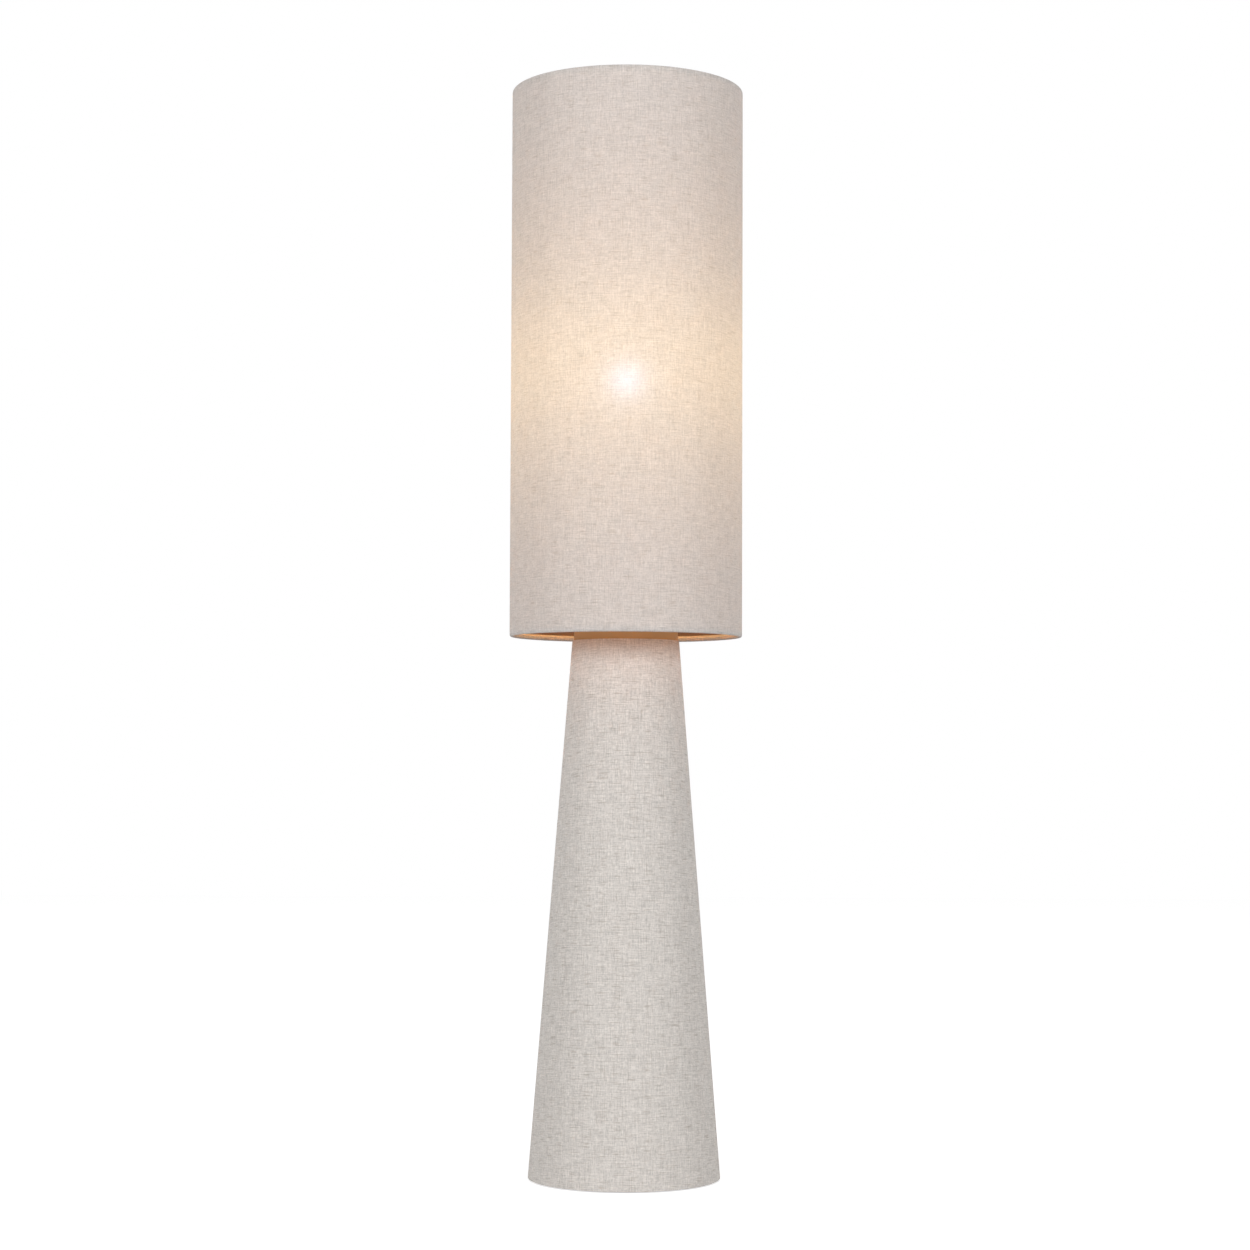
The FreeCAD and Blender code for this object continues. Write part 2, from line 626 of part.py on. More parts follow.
def grub_screw_hole(radius, reach):
    z = HOLDER_Z0 + HOLDER_NECK_HEIGHT / 2
    return Part.makeCylinder(radius, reach, Vector(TUBE_RADIUS, 0, z), Vector(1, 0, 0))


def terminals(clearance=0.0):
    """Two square brass posts that hang from the underside of the insert."""
    z1 = HOLDER_CAP_Z1 - INSERT_DEPTH + TERMINAL_SUNK + clearance
    z0 = z1 - TERMINAL_HEIGHT
    half = TERMINAL_SIZE / 2 + clearance
    return [block(x - half, x + half, -half, half, z0, z1)
            for x in (-TERMINAL_SPACING / 2, TERMINAL_SPACING / 2)]


def terminal_screws(clearance=0.0):
    """Clamping screws from the front of each terminal, heads to -Y."""
    z = HOLDER_CAP_Z1 - INSERT_DEPTH + TERMINAL_SUNK - TERMINAL_HEIGHT + TERMINAL_SIZE / 3
    reach = TERMINAL_SIZE / 2 - LEAD_RADIUS + SLOT_WIDTH
    radius = BLOCK_SCREW_RADIUS + clearance
    front = -TERMINAL_SIZE / 2 - SLOT_WIDTH
    return [bar_along_y(radius, front, front + reach, z, x)
            for x in (-TERMINAL_SPACING / 2, TERMINAL_SPACING / 2)]


def make_holder_housing():
    cap = turned([(TUBE_RADIUS + FIT, HOLDER_Z0),
                  (HOLDER_NECK_RADIUS, HOLDER_Z0, 0.8),
                  (HOLDER_NECK_RADIUS, HOLDER_Z0 + HOLDER_NECK_HEIGHT),
                  (HOLDER_CAP_RADIUS, HOLDER_CAP_Z1 - HOLDER_OVERLAP - HOLDER_WALL, 3.0),
                  (HOLDER_CAP_RADIUS, HOLDER_CAP_Z1),
                  (HOLDER_CAP_RADIUS - HOLDER_WALL, HOLDER_CAP_Z1),
                  (HOLDER_CAP_RADIUS - HOLDER_WALL, HOLDER_CAP_Z1 - HOLDER_OVERLAP),
                  (HOLDER_NECK_RADIUS, HOLDER_FLOOR_Z),
                  (TUBE_RADIUS + FIT, HOLDER_FLOOR_Z)])
    cap = cap.cut(grub_screw_hole(GRUB_RADIUS + FIT, HOLDER_NECK_RADIUS))
    save("holder_cap", cap)
    grub_length = HOLDER_NECK_RADIUS - TUBE_RADIUS - SLOT_DEPTH
    grub = grub_screw_hole(GRUB_RADIUS, grub_length)
    tip = ring(TUBE_RADIUS + FIT, 0.0, HOLDER_Z0, HOLDER_FLOOR_Z)
    save("holder_grub_screw", grub.cut(tip))

    skirt_z0 = HOLDER_CAP_Z1 - HOLDER_OVERLAP
    skirt_z1 = skirt_z0 + HOLDER_SKIRT_HEIGHT
    shoulder_z = INSERT_Z1 + GLUE_LINE
    inner = HOLDER_CAP_RADIUS + FIT
    skirt = turned([(inner, skirt_z0),
                    (HOLDER_SKIRT_RADIUS, skirt_z0, 0.6),
                    (HOLDER_SKIRT_RADIUS, skirt_z1, 1.5),
                    (HOLDER_SKIRT_RADIUS - 2 * HOLDER_WALL - HOLDER_LIP, skirt_z1, 1.0),
                    (HOLDER_SKIRT_RADIUS - 2 * HOLDER_WALL - HOLDER_LIP,
                     skirt_z1 - HOLDER_WALL),
                    (HOLDER_SKIRT_RADIUS - 2 * HOLDER_WALL, skirt_z1 - HOLDER_WALL),
                    (HOLDER_SKIRT_RADIUS - 2 * HOLDER_WALL, shoulder_z),
                    (inner, shoulder_z)])
    groove_z0 = skirt_z0 + HOLDER_WALL
    groove_z1 = skirt_z0 + HOLDER_SKIRT_HEIGHT / 2
    groove = disc(1.0, groove_z0, groove_z1, HOLDER_SKIRT_RADIUS + 1.0 - HOLDER_RIB_DEPTH)
    grooves = [spun(groove, 360 / HOLDER_RIB_COUNT * i) for i in range(HOLDER_RIB_COUNT)]
    save("holder_skirt", skirt.cut(grooves))


def make_holder_insert():
    flange = HOLDER_CAP_RADIUS - INSERT_PLAY
    body = HOLDER_CAP_RADIUS - HOLDER_WALL - INSERT_PLAY
    z0 = HOLDER_CAP_Z1 - INSERT_DEPTH
    well_z = INSERT_Z1 - WELL_DEPTH
    insert = turned([(0, z0), (body, z0), (body, HOLDER_CAP_Z1), (flange, HOLDER_CAP_Z1),
                     (flange, INSERT_Z1, 0.5), (WELL_RADIUS, INSERT_Z1),
                     (WELL_RADIUS, well_z), (0, well_z)])
    for hole in terminals(FIT):
        insert = insert.cut(hole)
    save("holder_insert", insert)

    posts = []
    for post in terminals():
        x = post.BoundBox.Center.x
        post = post.cut(disc(LEAD_RADIUS + FIT, post.BoundBox.ZMin - 1,
                             post.BoundBox.ZMin + TERMINAL_HEIGHT / 2, x))
        for hole in terminal_screws(FIT):
            post = post.cut(hole)
        posts.append(post)
    save("holder_terminals", *posts)
    save("holder_terminal_screws", *terminal_screws())

    foot = SHELL_RADIUS + SHELL_T + SHELL_FLANGE
    save("holder_screw_shell",
         turned([(SHELL_RADIUS, INSERT_Z1), (foot, INSERT_Z1), (foot, INSERT_Z1 + SHELL_T),
                 (SHELL_RADIUS + SHELL_T, INSERT_Z1 + SHELL_T),
                 (SHELL_RADIUS + SHELL_T, INSERT_Z1 + SHELL_HEIGHT),
                 (SHELL_RADIUS, INSERT_Z1 + SHELL_HEIGHT)]))
    save("holder_centre_contact",
         turned([(0, well_z), (TONGUE_RADIUS, well_z), (TONGUE_RADIUS, well_z + TONGUE_T),
                 (TONGUE_DOME_RADIUS, well_z + TONGUE_T),
                 (TONGUE_DOME_RADIUS, TONGUE_TOP_Z, 1.2), (0, TONGUE_TOP_Z)]))


def make_leads():
    """Two insulated leads: terminal block, up through the tube, apart into the terminals."""
    block_face = BLOCK_CENTRE - BLOCK_LENGTH / 2
    terminal_z = HOLDER_CAP_Z1 - INSERT_DEPTH + TERMINAL_SUNK - TERMINAL_HEIGHT
    end_z = terminal_z + TERMINAL_HEIGHT / 2
    for name, side in (("lead_live", -1), ("lead_neutral", 1)):
        near = side * LEAD_SPACING / 2
        points = [Vector(side * BLOCK_PITCH / 2, block_face + LEAD_IN_BLOCK, LEAD_Z),
                  Vector(side * BLOCK_PITCH / 2, block_face - 2, LEAD_Z),
                  Vector(near, 2 * LEAD_BEND_RADIUS, LEAD_Z),
                  Vector(near, 0, LEAD_Z),
                  Vector(near, 0, TUBE_Z1 + 1),
                  Vector(side * TERMINAL_SPACING / 2, 0, terminal_z - 1),
                  Vector(side * TERMINAL_SPACING / 2, 0, end_z)]
        radii = [0, LEAD_BEND_RADIUS, LEAD_BEND_RADIUS, LEAD_BEND_RADIUS, LEAD_FAN_RADIUS,
                 LEAD_FAN_RADIUS, 0]
        lead = wire_along(points, radii, LEAD_RADIUS)
        print(f"{name} bend radii {[radius for radius in radii if radius]}")
        save(name, lead)


# ---------------------------------------------------------------------------------------------
# Bulb
# ---------------------------------------------------------------------------------------------

def globe_profile(z, radius, centre_z):
    return math.sqrt(radius ** 2 - (z - centre_z) ** 2)


def make_bulb():
    insulator_z = BULB_Z0 + BULB_CONTACT_T
    cap_z0 = insulator_z + BULB_INSULATOR_T
    cap_z1 = BULB_Z0 + BULB_CAP_LENGTH
    seat_z = BULB_Z0 + BODY_TOP
    centre_z = BULB_Z0 + BULB_LENGTH - GLOBE_RADIUS
    rim = globe_profile(seat_z, GLOBE_RADIUS, centre_z)

    save("bulb_contact",
         turned([(0, BULB_Z0), (BULB_CONTACT_RADIUS, BULB_Z0, 1.0),
                 (BULB_CONTACT_RADIUS, insulator_z), (0, insulator_z)]))
    save("bulb_insulator",
         turned([(0, insulator_z), (BULB_CONTACT_RADIUS + 1, insulator_z),
                 (BULB_INSULATOR_RADIUS, cap_z0 - 1), (BULB_INSULATOR_RADIUS, cap_z0),
                 (0, cap_z0)]))

    cap_inner = BULB_CAP_RADIUS - THREAD_DEPTH - BULB_CAP_WALL
    root = BULB_CAP_RADIUS - THREAD_DEPTH
    outline = [(0, cap_z0), (root, cap_z0)]
    first_crest = cap_z0 + THREAD_PITCH / 2
    for i in range(THREAD_COUNT):
        crest = first_crest + i * THREAD_PITCH
        outline.append((root, crest - THREAD_PITCH / 3, 0.4))
        outline.append((BULB_CAP_RADIUS, crest, 0.5))
        outline.append((root, crest + THREAD_PITCH / 3, 0.4))
    outline += [(root, cap_z1), (cap_inner, cap_z1),
                (cap_inner, cap_z0 + BULB_CAP_WALL), (0, cap_z0 + BULB_CAP_WALL)]
    save("bulb_cap", turned(outline))

    neck = cap_inner - GLUE_LINE
    neck_z0 = cap_z1 - 2 * THREAD_PITCH
    shoulder_z = cap_z1 + GLUE_LINE
    body_outer = [(root + BODY_WALL, shoulder_z, 0.8),
                  (root + BODY_WALL, shoulder_z + THREAD_PITCH),
                  (rim, seat_z)]
    body_inner = [(rim - BODY_WALL, seat_z),
                  (rim - BODY_WALL, seat_z - LED_BOARD_T),
                  (rim - 2 * BODY_WALL, seat_z - LED_BOARD_T),
                  (neck - BODY_WALL, shoulder_z + THREAD_PITCH),
                  (neck - BODY_WALL, neck_z0)]
    save("bulb_body", turned([(neck, neck_z0), (neck, shoulder_z)] + body_outer + body_inner))

    board_z1 = seat_z
    board_z0 = seat_z - LED_BOARD_T
    save("bulb_led_board", disc(rim - BODY_WALL - FIT, board_z0, board_z1))
    half = LED_SIZE / 2
    led = block(LED_CIRCLE - half, LED_CIRCLE + half, -half, half, board_z1, board_z1 + LED_T)
    save("bulb_leds", *[spun(led, 360 / LED_COUNT * i) for i in range(LED_COUNT)])
    driver_z1 = board_z0
    driver_z0 = driver_z1 - DRIVER_LENGTH
    save("bulb_driver_board",
         block(-DRIVER_WIDTH / 2, DRIVER_WIDTH / 2, -DRIVER_T / 2, DRIVER_T / 2, driver_z0,
               driver_z1))

    edge_z = seat_z + GLUE_LINE
    outer_edge = Vector(globe_profile(edge_z, GLOBE_RADIUS, centre_z), 0, edge_z)
    inner_radius = GLOBE_RADIUS - GLOBE_WALL
    inner_edge = Vector(globe_profile(edge_z, inner_radius, centre_z), 0, edge_z)
    outer_top = Vector(0, 0, centre_z + GLOBE_RADIUS)
    inner_top = Vector(0, 0, centre_z + inner_radius)
    outer_arc = Part.Arc(outer_edge, Vector(GLOBE_RADIUS, 0, centre_z), outer_top)
    inner_arc = Part.Arc(inner_top, Vector(inner_radius, 0, centre_z), inner_edge)
    outline = Part.Wire([outer_arc.toShape(), Part.makeLine(outer_top, inner_top),
                         inner_arc.toShape(), Part.makeLine(inner_edge, outer_edge)])
    save("bulb_globe", Part.Face(outline).revolve(ORIGIN, UP, 360))


# ---------------------------------------------------------------------------------------------
# Shade
# ---------------------------------------------------------------------------------------------

def arms(radius):
    """Hub-to-ring wires of a given radius, as they run before they are cut to their seats."""
    level = HUB_Z1 + RING_WIRE / 2 - ARM_WELD_DEPTH
    points = [Vector(HUB_OUTER - ARM_OVERLAP, 0, level),
              Vector(RING_CENTRE - ARM_DROP_RUN, 0, level),
              Vector(RING_CENTRE, 0, SHADE_Z0 + RING_LEVEL)]
    arm = wire_along(points, [0, ARM_BEND_RADIUS, 0], radius)
    return [spun(arm, ARM_FIRST_AZIMUTH + 360 / ARM_COUNT * i) for i in range(ARM_COUNT)]


def wire_ring(z):
    return Part.makeTorus(RING_CENTRE, RING_WIRE / 2, Vector(0, 0, z))


def roll(edge_z, inward):
    """Corners of the linen rolled round one ring, from the tip of the turn-in to the edge.

    inward is 1 at the lower edge of the shade and -1 at the upper edge.
    """
    leg_outer = RING_OUTER - RING_WIRE - RING_PLAY
    leg_inner = leg_outer - FABRIC_T
    ring_far = edge_z + inward * (RING_LEVEL + RING_WIRE / 2 + RING_PLAY)
    tip_z = edge_z + inward * ROLL_HEIGHT
    tip_outer = SHADE_LINER_INNER - GLUE_LINE
    channel_radius = SHADE_EDGE_RADIUS - FABRIC_T
    inside = [(SHADE_RADIUS - FABRIC_T, edge_z + inward * FABRIC_T, channel_radius),
              (leg_outer, edge_z + inward * FABRIC_T, channel_radius),
              (leg_outer, ring_far), (tip_outer, tip_z)]
    outside = [(tip_outer - FABRIC_T, tip_z), (leg_inner, ring_far),
               (leg_inner, edge_z, SHADE_EDGE_RADIUS),
               (SHADE_RADIUS, edge_z, SHADE_EDGE_RADIUS)]
    return inside + outside


def make_shade():
    lower_ring = wire_ring(SHADE_Z0 + RING_LEVEL)
    save("shade_bottom_ring", lower_ring)
    save("shade_top_ring", wire_ring(LAMP_HEIGHT - RING_LEVEL))
    hub = ring(HUB_OUTER, HUB_INNER, HUB_Z0, HUB_Z1)
    save("shade_hub", hub)
    save("shade_arms", *[arm.cut(lower_ring).cut(hub) for arm in arms(RING_WIRE / 2)])

    fabric = turned(roll(SHADE_Z0, 1) + list(reversed(roll(LAMP_HEIGHT, -1))))
    for notch in arms(RING_WIRE / 2 + ARM_NOTCH_GAP):
        outer_wall = ring(SHADE_RADIUS + 1, SHADE_LINER_INNER, SHADE_Z0, LAMP_HEIGHT)
        fabric = fabric.cut(notch.cut(outer_wall))
    save("shade_fabric", fabric)

    save("shade_liner", ring(SHADE_LINER_OUTER, SHADE_LINER_INNER,
                             SHADE_Z0 + SHADE_EDGE_RADIUS, LAMP_HEIGHT - SHADE_EDGE_RADIUS))
    save("seat_washer", ring(HUB_OUTER, HUB_INNER, SEAT_WASHER_Z0,
                             SEAT_WASHER_Z0 + SEAT_WASHER_T))


def main():
    os.makedirs("parts", exist_ok=True)
    make_felt_pad()
    make_base_board()
    make_wiring_cover()
    make_ballast()
    make_cord_entry()
    make_cord_grip()
    make_terminal_block()
    make_base_liner()
    make_base_fabric()
    make_base_former()
    make_top_plug()
    make_stem()
    make_holder_housing()
    make_holder_insert()
    make_leads()
    make_bulb()
    make_shade()


main()
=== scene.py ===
import json
import logging
import math
from dataclasses import dataclass
from enum import Enum
from typing import Any, Callable, Iterable

import bmesh
import bpy
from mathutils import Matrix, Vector
from mathutils.kdtree import KDTree


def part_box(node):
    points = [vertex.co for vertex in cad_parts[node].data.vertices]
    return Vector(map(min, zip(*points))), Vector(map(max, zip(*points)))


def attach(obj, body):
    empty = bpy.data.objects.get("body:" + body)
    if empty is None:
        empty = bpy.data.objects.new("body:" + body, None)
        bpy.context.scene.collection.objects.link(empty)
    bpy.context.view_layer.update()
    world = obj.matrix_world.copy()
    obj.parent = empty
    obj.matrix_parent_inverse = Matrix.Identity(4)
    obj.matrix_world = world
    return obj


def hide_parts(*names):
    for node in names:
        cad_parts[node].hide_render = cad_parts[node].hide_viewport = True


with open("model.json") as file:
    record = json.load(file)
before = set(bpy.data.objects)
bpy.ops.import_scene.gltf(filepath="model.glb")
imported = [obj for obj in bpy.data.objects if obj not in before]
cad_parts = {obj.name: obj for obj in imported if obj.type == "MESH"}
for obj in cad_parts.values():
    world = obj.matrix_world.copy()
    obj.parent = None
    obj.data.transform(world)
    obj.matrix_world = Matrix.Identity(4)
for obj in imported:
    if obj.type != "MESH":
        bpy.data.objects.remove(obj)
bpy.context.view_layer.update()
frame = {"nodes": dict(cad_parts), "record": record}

# A column floor lamp: a linen cylinder shade over a weighted, linen covered cone.
# Metres, +Z up, origin on the floor under the middle, the viewer on the -Y side.

MM = 0.001
LOG = logging.getLogger("column_lamp")
CLOTH_UV = "cloth"          # metres round the lamp and metres up the cloth
ORIGIN = (0.0, 0.0, 0.0)
WHITE = (1.0, 1.0, 1.0, 1.0)


# ---------------------------------------------------------------------------------------------
# Colours and nodes
# ---------------------------------------------------------------------------------------------

def linear(code: str) -> tuple[float, float, float]:
    """Turns an sRGB hex colour such as "#d0c9c2" into linear light.

    Args:
        code: Six hex digits after a hash sign.

    Returns:
        The linear red, green and blue.
    """
    levels = [int(code[i:i + 2], 16) / 255 for i in (1, 3, 5)]
    red, green, blue = (
        level / 12.92 if level <= 0.04045 else ((level + 0.055) / 1.055) ** 2.4
        for level in levels
    )
    return red, green, blue


def rgba(code: str) -> tuple[float, float, float, float]:
    """The linear colour of a hex code, with an alpha of 1."""
    return (*linear(code), 1.0)


def add_node(tree: bpy.types.NodeTree, kind: str, settings: dict[str, Any] | None = None,
             inputs: dict[int | str, Any] | None = None) -> bpy.types.Node:
    """Adds one node.

    Args:
        tree: The tree that it goes in.
        kind: Blender's name for the node type.
        settings: Properties of the node.
        inputs: Values or output sockets, by the input's number or name.

    Returns:
        The new node.
    """
    node = tree.nodes.new(kind)
    for name, value in (settings or {}).items():
        setattr(node, name, value)
    for key, value in (inputs or {}).items():
        if isinstance(value, bpy.types.NodeSocket):
            tree.links.new(value, node.inputs[key])
        else:
            node.inputs[key].default_value = value
    return node


def calculate(tree: bpy.types.NodeTree, operation: str, *values: Any) -> bpy.types.NodeSocket:
    """The result of one Math node on numbers or sockets."""
    return add_node(tree, "ShaderNodeMath", {"operation": operation},
                    dict(enumerate(values))).outputs[0]


def speckle(tree: bpy.types.NodeTree, size: Iterable[float], shift: float = 0.0,
            detail: float = 1.0, cloth: bool = False) -> bpy.types.NodeSocket:
    """Soft noise whose lumps have a real size.

    Args:
        tree: The material's tree.
        size: The lumps' length along each axis in millimetres.
        shift: Moves the pattern, so that two layers differ.
        detail: Octaves of finer noise.
        cloth: True to follow the cloth's own threads, False for the object's axes.

    Returns:
        A value about 0.5.
    """
    if cloth:
        place = add_node(tree, "ShaderNodeUVMap", {"uv_map": CLOTH_UV}).outputs["UV"]
    else:
        place = add_node(tree, "ShaderNodeTexCoord").outputs["Object"]
    scale = tuple(1 / (MM * length) for length in size)
    mapping = add_node(tree, "ShaderNodeMapping", None,
                       {"Vector": place, "Scale": scale, "Location": (shift, shift / 2, 0)})
    noise = add_node(tree, "ShaderNodeTexNoise", {"noise_dimensions": "2D" if cloth else "3D"},
                     {"Vector": mapping.outputs[0], "Scale": 1.0, "Detail": detail})
    return noise.outputs[0]


def between(tree: bpy.types.NodeTree, value: bpy.types.NodeSocket, start: float, end: float,
            low: float, high: float) -> bpy.types.NodeSocket:
    """Stretches the span start to end of a value onto low to high, and holds it there."""
    return add_node(tree, "ShaderNodeMapRange", None,
                    {0: value, 1: start, 2: end, 3: low, 4: high}).outputs[0]


def blend_colours(tree: bpy.types.NodeTree, share: Any, first: Any,
                  second: Any) -> bpy.types.NodeSocket:
    """A colour part of the way from the first to the second."""
    return add_node(tree, "ShaderNodeMix", {"data_type": "RGBA"},
                    {0: share, 6: first, 7: second}).outputs[2]


def raised(tree: bpy.types.NodeTree, height: bpy.types.NodeSocket, depth: float,
           strength: float = 1.0) -> bpy.types.NodeSocket:
    """A normal that shows a height pattern, its depth in millimetres."""
    return add_node(tree, "ShaderNodeBump", None,
                    {"Strength": strength, "Distance": depth * MM, "Height": height}).outputs[0]


def scaled(tree: bpy.types.NodeTree, colour: Any, factor: Any) -> bpy.types.NodeSocket:
    """A colour made lighter or darker by a factor."""
    return add_node(tree, "ShaderNodeVectorMath", {"operation": "SCALE"},
                    {0: colour, "Scale": factor}).outputs[0]


def mixed(tree: bpy.types.NodeTree, share: Any, first: bpy.types.NodeSocket,
          second: bpy.types.NodeSocket) -> bpy.types.NodeSocket:
    """A shader part of the way from the first to the second."""
    return add_node(tree, "ShaderNodeMixShader", None,
                    {0: share, 1: first, 2: second}).outputs[0]


# ---------------------------------------------------------------------------------------------
# Finishes
# ---------------------------------------------------------------------------------------------

class Finish:
    """A surface finish. Each subclass says what one kind of surface looks like."""

    name: str

    def surface(self, tree: bpy.types.NodeTree) -> bpy.types.NodeSocket:
        """Builds the finish's nodes.

        Args:
            tree: The material's empty tree.

        Returns:
            The shader for the material's output.
        """
        raise NotImplementedError

    def material(self) -> bpy.types.Material:
        """The finish as a material, made once."""
        known = bpy.data.materials.get(self.name)
        if known:
            return known
        material = bpy.data.materials.new(self.name)
        material.use_nodes = True
        tree = material.node_tree
        tree.nodes.clear()
        add_node(tree, "ShaderNodeOutputMaterial", None, {"Surface": self.surface(tree)})
        return material


@dataclass(frozen=True)
class Streak:
    """Unevenness of one set of threads: its run along and width across them in millimetres."""

    weft: bool
    run: float
    width: float
    strength: float

    def size(self) -> tuple[float, float, float]:
        """The lumps' size along the weft, along the warp and through the cloth."""
        return (self.run, self.width, 1.0) if self.weft else (self.width, self.run, 1.0)


# Natural linen yarn swells and thins along its length. Single threads, half a millimetre
# apart, are finer than a picture of the whole lamp shows, so the narrowest streaks are drawn
# about two threads wide.
YARN_STREAKS = (
    Streak(True, 4.0, 1.2, 0.42),
    Streak(False, 4.0, 1.2, 0.42),
    Streak(True, 14.0, 1.3, 0.42),
    Streak(False, 14.0, 1.3, 0.42),
    Streak(True, 40.0, 1.6, 0.28),
    Streak(False, 40.0, 1.6, 0.28),
)
# Each layer of the linen's pattern is moved by its own amount, so that no two look alike.
STREAK_SHIFT = 7.3
CLOUD_SHIFT = 51.0
WEFT_SLUB_SHIFT = 83.0
WARP_SLUB_SHIFT = 97.0


@dataclass(frozen=True)
class WovenLinen(Finish):
    """Natural linen in a plain weave: matt, mottled beige with darker slubs both ways."""

    name: str = "woven natural linen"
    colour: str = "#d2cdc8"
    slub_colour: str = "#8d7c6b"
    thread_pitch: float = 0.55      # millimetres, thread to thread
    slub_run: float = 18.0          # millimetres along the thread
    slub_width: float = 1.3         # millimetres across it
    mottle: float = 14.0            # size of the soft clouds in the dye, in millimetres
    relief: float = 0.12            # height of the threads, in millimetres
    relief_strength: float = 0.6
    crown_share: float = 0.3        # the weave's part in the relief, beside the yarn's lumps
    contrast: float = 0.75          # how strongly the streaks show
    cloud_strength: float = 0.10
    slub_strength: float = 0.34

    def unevenness(self, tree: bpy.types.NodeTree) -> bpy.types.NodeSocket:
        """How light the yarn is at a place, about 1."""
        layers = [(streak.size(), STREAK_SHIFT * number, 1.0, streak.strength * self.contrast)
                  for number, streak in enumerate(YARN_STREAKS)]
        layers.append(((self.mottle, self.mottle, 1.0), CLOUD_SHIFT, 2.0, self.cloud_strength))
        total: Any = 1.0
        for size, shift, detail, strength in layers:
            noise = speckle(tree, size, shift, detail, cloth=True)
            centred = calculate(tree, "SUBTRACT", noise, 0.5)
            total = calculate(tree, "MULTIPLY_ADD", centred, strength, total)
        return total

    def slubs(self, tree: bpy.types.NodeTree) -> bpy.types.NodeSocket:
        """1 on a thick dark stretch of thread, 0 elsewhere."""
        weft_size = (self.slub_run, self.slub_width, 1.0)
        warp_size = (self.slub_width, self.slub_run, 1.0)
        along = speckle(tree, weft_size, WEFT_SLUB_SHIFT, 0.0, cloth=True)
        upright = speckle(tree, warp_size, WARP_SLUB_SHIFT, 0.0, cloth=True)
        # Only the peaks of the noise are slubs; those of the warp are fewer and paler.
        weft = between(tree, along, 0.70, 0.84, 0.0, 1.0)
        warp = between(tree, upright, 0.74, 0.88, 0.0, 0.8)
        return calculate(tree, "MAXIMUM", weft, warp)

    def weave(self, tree: bpy.types.NodeTree) -> bpy.types.NodeSocket:
        """Height of the plain weave, 0 between threads to 1 on a thread's crown."""
        place = add_node(tree, "ShaderNodeUVMap", {"uv_map": CLOTH_UV}).outputs["UV"]
        axes = add_node(tree, "ShaderNodeSeparateXYZ", None, {0: place})
        turn = math.pi / (self.thread_pitch * MM)
        across = calculate(tree, "SINE", calculate(tree, "MULTIPLY", axes.outputs[0], turn))
        upward = calculate(tree, "SINE", calculate(tree, "MULTIPLY", axes.outputs[1], turn))
        return calculate(tree, "MULTIPLY_ADD", calculate(tree, "MULTIPLY", across, upward),
                         0.5, 0.5)

    def cloth_parts(self, tree: bpy.types.NodeTree) -> tuple[bpy.types.NodeSocket, ...]:
        """The pattern that every face of the cloth shares.

        Args:
            tree: The material's tree.

        Returns:
            The lightness about 1, the colour and the bumped normal.
        """
        light = self.unevenness(tree)
        tinted = scaled(tree, linear(self.colour), light)
        slub = calculate(tree, "MULTIPLY", self.slubs(tree), self.slub_strength)
        colour = blend_colours(tree, slub, tinted, rgba(self.slub_colour))
        height = calculate(tree, "MULTIPLY_ADD", self.weave(tree), self.crown_share, light)
        return light, colour, raised(tree, height, self.relief, self.relief_strength)

    def cloth_face(self, tree: bpy.types.NodeTree, colour: bpy.types.NodeSocket,
                   normal: bpy.types.NodeSocket) -> bpy.types.NodeSocket:
        """The matt, faintly fuzzy face of the linen."""
        return add_node(tree, "ShaderNodeBsdfPrincipled", None,
                        {"Base Color": colour, "Normal": normal, "Roughness": 0.92,
                         "Diffuse Roughness": 0.3, "Specular IOR Level": 0.2,
                         "Sheen Weight": 0.04, "Sheen Roughness": 0.6}).outputs[0]

    def surface(self, tree: bpy.types.NodeTree) -> bpy.types.NodeSocket:
        """Opaque linen, as on the base."""
        _, colour, normal = self.cloth_parts(tree)
        return self.cloth_face(tree, colour, normal)


@dataclass(frozen=True)
class LitLinen(WovenLinen):
    """The shade's linen: it lets some of the bulb's light through, warmer than it went in."""

    name: str = "woven natural linen over a lamp"
    # Darker than the base's linen: painted shade that takes back the extra light the shade gets
    # from above and through its open top.
    colour: str = "#cac4c0"
    contrast: float = 0.56
    slub_strength: float = 0.24
    through: float = 0.057          # share of the light that is let through
    through_colour: str = "#ffebc2"
    haze: float = 0.0076            # share that goes nearly straight on and shows the bulb
    haze_colour: str = "#6c89d4"    # whitens the spot, as the light round it is yellow
    haze_spread: float = 1.15       # index of refraction: the higher, the wider the spot
    inside_colour: str = "#bc9570"  # what the wall sends back into the shade

    def surface(self, tree: bpy.types.NodeTree) -> bpy.types.NodeSocket:
        """Linen that glows from behind; its back is the warm inside of the shade's wall."""
        light, colour, normal = self.cloth_parts(tree)
        passed = self.through + self.haze
        face = self.cloth_face(tree, scaled(tree, colour, 1 / (1 - passed)), normal)
        tint = scaled(tree, linear(self.through_colour), light)
        glow = add_node(tree, "ShaderNodeBsdfTranslucent", None, {"Color": tint}).outputs[0]
        spot = add_node(tree, "ShaderNodeBsdfRefraction", {"distribution": "GGX"},
                        {"Color": rgba(self.haze_colour), "Roughness": 1.0,
                         "IOR": self.haze_spread}).outputs[0]
        front = mixed(tree, passed, face, mixed(tree, self.haze / passed, glow, spot))
        back = add_node(tree, "ShaderNodeBsdfDiffuse", None,
                        {"Color": rgba(self.inside_colour)}).outputs[0]
        side = add_node(tree, "ShaderNodeNewGeometry").outputs["Backfacing"]
        return mixed(tree, side, front, back)


